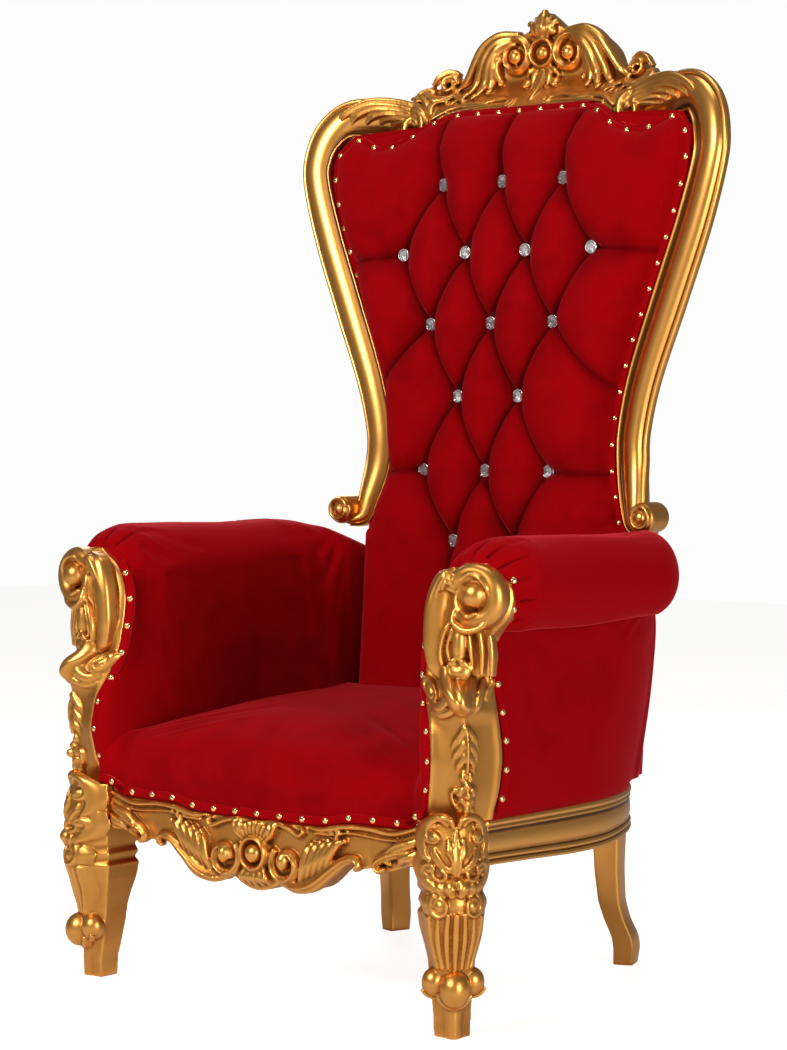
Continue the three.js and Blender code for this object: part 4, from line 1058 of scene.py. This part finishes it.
stuff(seat, seat_side | (seat_points[:, 2] < TACK_LEVEL) | (seat_points[:, 1] > 180), 3.0, 0.007)
# The seat is marked again after stuffing, with only a faint painted shade in its hollows.
hollow_depth(seat.data, 0.15)


# ---- Arms -----------------------------------------------------------------------------------
# A stuffed panel each side that turns over into a fat roll. The velvet is drawn round the front of
# the roll in small gathers, behind the carved scroll, and wraps the post's inner edge in a soft nose.
ARM_FOOT = [(-300, 449), (20, 446), (90, 431), (150, 408), (215, 372), (257, 341), (320, 317)]
ARM_PANEL = [(-300, 458), (0, 460), (100, 458), (155, 450), (200, 430), (250, 395), (320, 350)]
ARM_MIDDLE = [(-316, 425), (-255, 434), (0, 440), (155, 438), (200, 414), (250, 380), (320, 345)]
ARM_RADIUS = [
    (-316, 70), (-290, 80), (-255, 86), (-200, 84), (0, 82), (155, 80), (200, 74), (250, 60), (320, 34),
]
ARM_LEVEL = [(-316, 728), (-255, 738), (200, 740), (250, 738), (320, 732)]
ARM_BASE = 353
ARM_GATHERS = (-38, -12, 14, 40, 66, 92, 120)


def rounded(table, y):
    """A table's value with its corners eased."""
    return float(np.mean([graph(table, y + d) for d in (-30, -15, 0, 15, 30)]))


arm_depths = np.concatenate([np.linspace(-316, -215, 34), np.linspace(-208, 320, 78)])
nose_levels = np.linspace(404, 742, 90)
arm_rings, arm_faces = [], []
for y in arm_depths:
    inner = float(arm_inner(y))
    foot, panel, middle = (rounded(t, y) for t in (ARM_FOOT, ARM_PANEL, ARM_MIDDLE))
    radius, level = float(graph(ARM_RADIUS, y)), rounded(ARM_LEVEL, y)
    front = math.exp(-(y + 316) / 26)
    wall = spline([(foot, ARM_BASE), (foot + 0.7 * (panel - foot), 500), (panel + 1, 610),
                   (panel, 660), (panel - 4, 671)], 30)[:, :2]
    arc = []
    for degrees in np.linspace(-60, 176, 60):
        angle = math.radians(degrees)
        pucker = sum(math.exp(-((degrees - line) / 3.2) ** 2) for line in ARM_GATHERS)
        r = radius - 7 * pucker * math.exp(-(y + 316) / 34) - 5 * front
        sag = 1.2 * math.sin(y / 47 + degrees / 23) * (1 - front)
        arc.append((max(inner, middle + (r + sag) * math.cos(angle)), level + (r + sag) * math.sin(angle)))
    under = [(inner + (arc[-1][0] - inner) * (1 - t) ** 2, arc[-1][1] + (ARM_BASE - arc[-1][1]) * t)
             for t in np.linspace(0, 1, 42)[1:]]
    arm_faces.append(np.interp(nose_levels, [b for _, b in under[::-1]], [a for a, _ in under[::-1]]))
    profile = list(map(tuple, wall)) + arc + under
    profile += [(inner + (foot - inner) * t, ARM_BASE) for t in np.linspace(0, 1, 10)[1:-1]]
    arm_rings.append([(a, y, b) for a, b in profile])
for arm in pair("arm_velvet", loft(arm_rings), velvet, "arm_pad"):
    arm_points = read(arm.data) * 1000
    arm_back = arm_points[:, 1] - set_back * 1000
    stuff(arm, (arm_points[:, 2] < TACK_LEVEL) | (arm_back < -285) | (arm_back > 240), 3.0, 0.006)

nose_rings = []
for z, faces in zip(nose_levels, np.transpose(arm_faces)):
    edge = post_plan(POST_INNER, z)
    wall = float(np.interp(-290, arm_depths, faces))
    away = edge - np.array([wall, -300])
    bulge = 6 * math.sin(math.pi * (z - 404) / 338) ** 2
    sink = 1.6 * float(eased(z, 705, 742))
    points = [(float(np.interp(y, arm_depths, faces) + 1.6 - 2.2 * eased(-y, 150, 215)
                     - bulge * 0.55 * eased(-y, 190, 285)) + sink, y)
              for y in (-150, -172, -194, -216, -238, -260)]
    points += [(wall + away[0] * 0.03 - bulge * 0.65, -296 + away[1] * 0.20),
               (wall + away[0] * 0.24 - bulge * 0.7, -300 + away[1] * 0.76),
               (wall + away[0] * 0.60 - bulge * 0.4, -300 + away[1] * 1.0), (edge[0] + 4, edge[1] + 5)]
    points = spline(points, 40)[:, :2]
    ring = [(p[0], p[1], z) for p in points]
    ring += [(edge[0] + 14, edge[1] + 34, z), (wall + 22, -240, z), (wall + 16, -150, z)]
    nose_rings.append(ring)
for nose in pair("arm_nose", loft(nose_rings), velvet):
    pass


# ---- Tufted back ----------------------------------------------------------------------------
# Deep-buttoned velvet over thick stuffing. The cloth is folded into pleats between the buttons and
# out to the frame, stands up in full pillows, and rolls down to a flat tacked edge all round.
PAD_HALF_WIDTH = [
    (460, 309), (804, 309), (818, 291), (833, 292), (862, 281), (900, 269), (942, 262), (1012, 268),
    (1133, 299), (1246, 343), (1360, 388), (1460, 418), (1508, 423), (1534, 421), (1560, 412),
]
PAD_TOP = [
    (0, 1606), (160, 1606), (195, 1596), (228, 1581), (250, 1562), (285, 1549), (320, 1545), (380, 1570),
    (400, 1568), (424, 1534),
]
PAD_FRONT = [(460, 250), (780, 280), (914, 286), (1193, 303), (1462, 339), (1530, 352), (1606, 390)]
PAD_EDGE = [
    (460, 300), (800, 300), (856, 312), (925, 322), (990, 326), (1370, 326), (1480, 328), (1535, 336),
    (1579, 358), (1606, 392),
]
PAD_REAR = [(357, 326), (460, 334), (800, 352), (940, 358), (1500, 362), (1560, 374), (1606, 398)]
BUTTON_ROWS = [
    (1462, 339, (-141, 0, 141)), (1329, 316, (-222, -71, 71, 222)), (1193, 303, (-144, 0, 144)),
    (1055, 294, (-71, 71)), (914, 286, (-148, 0, 148)), (780, 280, (-71, 71)),
]
buttons = [(x, y, z) for z, y, xs in BUTTON_ROWS for x in xs]
# Each pleat runs from a button to a button of the next row, or out to the frame.
pleats = []
for (z0, _, xs0), (z1, _, xs1) in zip(BUTTON_ROWS, BUTTON_ROWS[1:]):
    pleats += [((x0, z0), (x1, z1)) for x0 in xs0 for x1 in xs1 if abs(x0 - x1) < 100]
pleats += [((x, 1462), (x * 1.16, 1606)) for x in (-141, 0, 141)]
pleats += [((x, 780), (x * 1.1, 470)) for x in (-71, 71)]
for s in (-1, 1):
    pleats += [((s * 222, 1329), (s * 362, 1318)), ((s * 144, 1193), (s * 276, 1062)),
               ((s * 148, 914), (s * 262, 908))]


PAD_BOTTOM = 460


def back_place(u, f, bottom, grow):
    """Across and up on the back, from u side to side and f bottom to top, grown past its outline."""
    z = bottom + (graph(PAD_TOP, np.abs(u) * 424) + (8 if grow > 0 else grow) - bottom) * f
    return u * (graph(PAD_HALF_WIDTH, z) + grow), z


edge_u = np.linspace(-1, 1, 400)
edge_f = np.linspace(0, 1, 300)
edge_right = np.stack(back_place(np.ones(300), edge_f, PAD_BOTTOM, 2), 1)
edge_top = np.stack(back_place(edge_u, np.ones(400), PAD_BOTTOM, 2), 1)
pad_edge = np.vstack([edge_right, edge_right * [-1, 1], edge_top])
BATCH = 4000


def from_edge(x, z):
    """Distance to the frame, a few thousand points at a time."""
    out = np.empty(len(x))
    for k in range(0, len(x), BATCH):
        dx = x[k:k + BATCH, None] - pad_edge[None, :, 0]
        dz = z[k:k + BATCH, None] - pad_edge[None, :, 1]
        out[k:k + BATCH] = np.sqrt((dx * dx + dz * dz).min(1))
    return out


def from_pleats(x, z):
    """Distance to the nearest pleat, and how far along it, 0 at its ends."""
    best = np.full(len(x), 1e9)
    along = np.zeros(len(x))
    for (x0, z0), (x1, z1) in pleats:
        length2 = (x1 - x0) ** 2 + (z1 - z0) ** 2
        t = np.clip(((x - x0) * (x1 - x0) + (z - z0) * (z1 - z0)) / length2, 0, 1)
        d = np.hypot(x - x0 - t * (x1 - x0), z - z0 - t * (z1 - z0))
        nearer = d < best
        best[nearer], along[nearer] = d[nearer], t[nearer]
    return best, along


def dome(share):
    """A quarter round, steep at 0 and level at 1."""
    share = np.clip(share, 0, 1)
    return np.sqrt(np.maximum(0, 1 - (1 - share) ** 2))


def pad_depth(x, z):
    """The cloth's y at a place, and its distance to a pleat, a button and the frame."""
    edge = from_edge(x, z)
    crease, along = from_pleats(x, z)
    button = np.min([np.hypot(x - bx, z - bz) for bx, _, bz in buttons], axis=0)
    saddle = 23 * np.sin(math.pi * np.clip(along, 0, 1)) ** 0.8
    pillow = saddle + (47 - saddle) * dome(crease / 74)
    pillow *= 0.16 + 0.84 * dome(button / 56)
    shoulder_roll = dome((edge - 15) / 62)
    rim = graph(PAD_EDGE, z)
    return rim + (graph(PAD_FRONT, z) - pillow - rim) * shoulder_roll * (edge > 15), crease, button, edge


columns, rows_up = 121, 165
pad_rings = []
for f in np.linspace(0, 1, rows_up):
    u = np.linspace(-1, 1, columns)
    x, z = back_place(u, np.full(columns, f), PAD_BOTTOM, 2)
    y = pad_depth(x, z)[0]
    rear = graph(PAD_REAR, z)
    ring = [(x[k], y[k], z[k]) for k in range(columns)]
    ring += [(x[k], max(rear[k], y[k] + 5), z[k]) for k in range(columns - 1, -1, -12)]
    pad_rings.append(ring)
back = piece("back_velvet", loft(pad_rings), velvet, ["back_pad"])
back_points = read(back.data) * 1000
back_y = back_points[:, 1] - set_back * 1000
_, crease, button, edge = pad_depth(back_points[:, 0], back_points[:, 2])
behind = back_y > graph(PAD_FRONT, back_points[:, 2]) + 30
tacked = (edge < 22) | (button < 13) | (crease < 4) | (back_points[:, 2] < 480)
stuff(back, behind | tacked, 3.2, 0.007)
finer = back.modifiers.new("finer", "SUBSURF")
finer.levels = finer.render_levels = 1
finer.use_limit_surface = False
settle(back, finer)
fine_points = read(back.data)
_, crease, button, edge = pad_depth(fine_points[:, 0] * 1000, fine_points[:, 2] * 1000)
facing = fine_points[:, 1] - set_back < (graph(PAD_FRONT, fine_points[:, 2] * 1000) + 30) / 1000
fold = 3.2 * np.exp(-(crease / 3.4) ** 2)
seam = 2.6 * np.exp(-((edge - 17) / 2.6) ** 2)
fine_points[:, 1] += np.where(facing, (fold * (button > 9) * (edge > 15) + seam) / 1000, 0)
back.data.vertices.foreach_set("co", fine_points.ravel())
back.data.update()
# Painted shade: the cloth is darkened along the pleats and round the buttons.
crease_shade = 0.34 + 0.30 * np.exp(-crease / 5) + 0.24 * np.exp(-crease / 24) + 0.26 * np.exp(-button / 22)
mark_hollows(back.data, np.where(facing, crease_shade, PLAIN_MARK))

# The plain panel behind is a single cloth drawn over webbing, a little proud in the middle.
panel_rings = []
for f in np.linspace(0, 1, 90):
    u = np.linspace(-1, 1, 61)
    x, z = back_place(u, np.full(61, f), 356.5, 7)
    z = z - 7 * f
    rear = graph(PAD_REAR, z)
    ring = [(x[k], 311 if z[k] < 470 else rear[k] + 3, z[k]) for k in range(61)]
    ring += [(x[k], rear[k] + 12 + 8 * (1 - u[k] ** 2) * math.sin(math.pi * f), z[k])
             for k in range(60, -1, -1)]
    panel_rings.append(ring)
rear_panel = piece("rear_panel_velvet", loft(panel_rings), velvet, ["back_panel"])


# ---- Tacked bands and nails -----------------------------------------------------------------
# A flat folded band of the velvet hides every tacked edge. Domed brass nails 12 mm across hold it,
# about 50 mm apart, along the seat front, the posts, the scrolls and all round the back.
BAND_WIDTH = 15
NAIL_SPACING = 50
NAIL_RADIUS = 6
brass = carved_gold("nail_brass", (0.95, 0.70, 0.30), (0.80, 0.52, 0.18), (0.35, 0.18, 0.04), 0.16)


def band_body(path, facing, width=BAND_WIDTH, thick=2.4):
    """A flat folded band along a path, its upper side turned to facing."""
    path, facing = np.asarray(path, float), np.asarray(facing, float)
    way = direction(path)
    facing = facing - (facing * way).sum(1, keepdims=True) * way
    facing /= np.linalg.norm(facing, axis=1, keepdims=True)
    across = np.cross(way, facing)
    section = [(-1, -1.0), (-1, 0.4), (-0.9, 0.9), (-0.6, 1.0), (0, 1.05), (0.6, 1.0), (0.9, 0.9), (1, 0.4),
               (1, -1.0)]
    return loft([[path[k] + across[k] * s * width / 2 + facing[k] * h * thick for s, h in section]
                 for k in range(len(path))])


def nail_heads(path, facing, spacing=NAIL_SPACING, lift=2.6, inset=0.5):
    """Domed heads evenly along a path, lift above it."""
    path, facing = np.asarray(path, float), np.asarray(facing, float)
    run = np.concatenate([[0], np.cumsum(np.linalg.norm(np.diff(path, axis=0), axis=1))])
    count = max(1, round(run[-1] / spacing))
    bodies = []
    for n in range(count):
        at = (n + inset) * run[-1] / count
        spot = np.array([np.interp(at, run, path[:, k]) for k in range(3)])
        out = np.array([np.interp(at, run, facing[:, k]) for k in range(3)])
        out /= np.linalg.norm(out)
        one = np.cross(out, [0.3, 0.1, 1.0])
        one /= np.linalg.norm(one)
        two = np.cross(out, one)
        rings = []
        for lat in (-0.25, 0.0, 0.45, 0.9, 1.25, 1.5):
            r, h = NAIL_RADIUS * math.cos(max(0, lat)), 3.4 * math.sin(lat)
            rings.append([spot + out * (lift + h) + r * (one * math.cos(g) + two * math.sin(g))
                          for g in circle(14)])
        bodies.append(loft(rings))
    return bodies


xs = np.linspace(-372, 372, 120)
seat_edge = np.stack([xs, seat_front(xs) - 1.0, rail_top(xs) + 10.5 + 6 * eased(np.abs(xs), 345, 372)], 1)
seat_facing = np.tile([0, -1, 0.05], (120, 1))
piece("seat_band", band_body(seat_edge, seat_facing), velvet)
piece("seat_nails", gather(nail_heads(seat_edge, seat_facing, 51)), brass)

levels = np.linspace(384, 752, 80)
inner_edge = np.array([post_plan(POST_INNER, z) for z in levels])
inner_path = np.stack([inner_edge[:, 0] - 7.5, inner_edge[:, 1] + 4.5, levels], 1)
inner_facing = np.tile([-0.42, -0.9, 0], (80, 1))
outer_levels = np.linspace(366, 650, 60)
outer_edge = np.array([post_plan(POST_OUTER, z) for z in outer_levels])
outer_path = np.stack([np.maximum(outer_edge[:, 0] - 1, 458), outer_edge[:, 1] + 12, outer_levels], 1)
outer_facing = np.tile([1, -0.12, 0], (60, 1))
roll_angles = np.radians(np.linspace(-42, 118, 70))
roll_path = np.stack([427 + 71.5 * np.cos(roll_angles), np.full(70, -299.0), 728 + 66 * np.sin(roll_angles)], 1)
roll_facing = np.stack([0.8 * np.cos(roll_angles), np.full(70, -0.6), 0.8 * np.sin(roll_angles)], 1)
post_bands = [band_body(inner_path, inner_facing), band_body(outer_path, outer_facing, 13),
              band_body(roll_path, roll_facing, 13)]
post_nails = (nail_heads(inner_path, inner_facing) + nail_heads(outer_path, outer_facing, 47)
              + nail_heads(roll_path, roll_facing, 46))
for hand in ("right", "left"):
    piece(f"post_band_{hand}", gather(post_bands), velvet, flip=hand == "left")
    piece(f"post_nails_{hand}", gather(post_nails), brass, flip=hand == "left")

BORDER_INSET = -7.5
border_f = np.linspace(0.32, 1, 170)
border_right = np.stack(back_place(np.full(170, 1.0), border_f, PAD_BOTTOM, BORDER_INSET), 1)
border_top = np.stack(back_place(np.linspace(0.985, -0.985, 260), np.ones(260), PAD_BOTTOM, BORDER_INSET), 1)
border = np.vstack([border_right, border_top, (border_right * [-1, 1])[::-1]])
soften(border, 6)
border_path = np.stack([border[:, 0], graph(PAD_EDGE, border[:, 1]) - 1.0, border[:, 1]], 1)
border_facing = np.tile([0, -1, 0.0], (len(border), 1))
piece("back_band", band_body(border_path, border_facing, 14), velvet)
piece("back_nails", gather(nail_heads(border_path, border_facing)), brass)
rear_path = np.stack([border[:, 0] * 0.965, graph(PAD_REAR, border[:, 1]) + 12.5, border[:, 1] - 4], 1)
piece("rear_nails", gather(nail_heads(rear_path, -border_facing, lift=1.0)), brass)


# ---- Crystal buttons ------------------------------------------------------------------------
# Seventeen cut-glass studs, each a clear faceted dome over silvered foil in a plain metal cup,
# tied through the stuffing so that it sits at the bottom of its dimple.
crystal = bpy.data.materials.new("cut_crystal")
crystal.use_nodes = True
set_inputs(crystal.node_tree.nodes["Principled BSDF"], Base_Color=(0.97, 0.98, 1.0, 1), Roughness=0.0,
           IOR=1.6, Transmission_Weight=0.9)
silver = carved_gold("silver_cup", (1.0, 0.99, 0.98), (0.90, 0.89, 0.88), (0.40, 0.39, 0.38), 0.24)


def cut_rings(profile, sides, turn):
    """Rings of flat sides from a profile of radius and height, each turned a little on the last."""
    return [[(r * math.cos(g + turn * k), -h, r * math.sin(g + turn * k)) for g in circle(sides)]
            for k, (r, h) in enumerate(profile)]


# Radius and height.
STONE_PROFILE = [(9.0, -0.6), (11.0, 1.6), (9.4, 4.6), (5.6, 6.8), (5.2, 6.9)]
CUP_PROFILE = [
    (6, -9), (12.0, -8), (12.8, 0.6), (12.4, 2.0), (11.5, 2.0), (10.6, -1.2), (5.5, -3.6), (1, -7.0),
]
stones, cups = [], []
for x, y, z in buttons:
    seat_point = np.array([x, y - 12, z])
    for row, profile, sides, turn in ((stones, STONE_PROFILE, 10, math.pi / 10), (cups, CUP_PROFILE, 20, 0)):
        points, faces = loft(cut_rings(profile, sides, turn))
        row.append((points + seat_point, faces))
button_nodes = [name for name in frame["nodes"] if name.startswith("button_")]
stone_piece = piece("crystal_stones", gather(stones), crystal, button_nodes)
stone_piece.data.polygons.foreach_set("use_smooth", [False] * len(stone_piece.data.polygons))
piece("crystal_cups", gather(cups), silver)
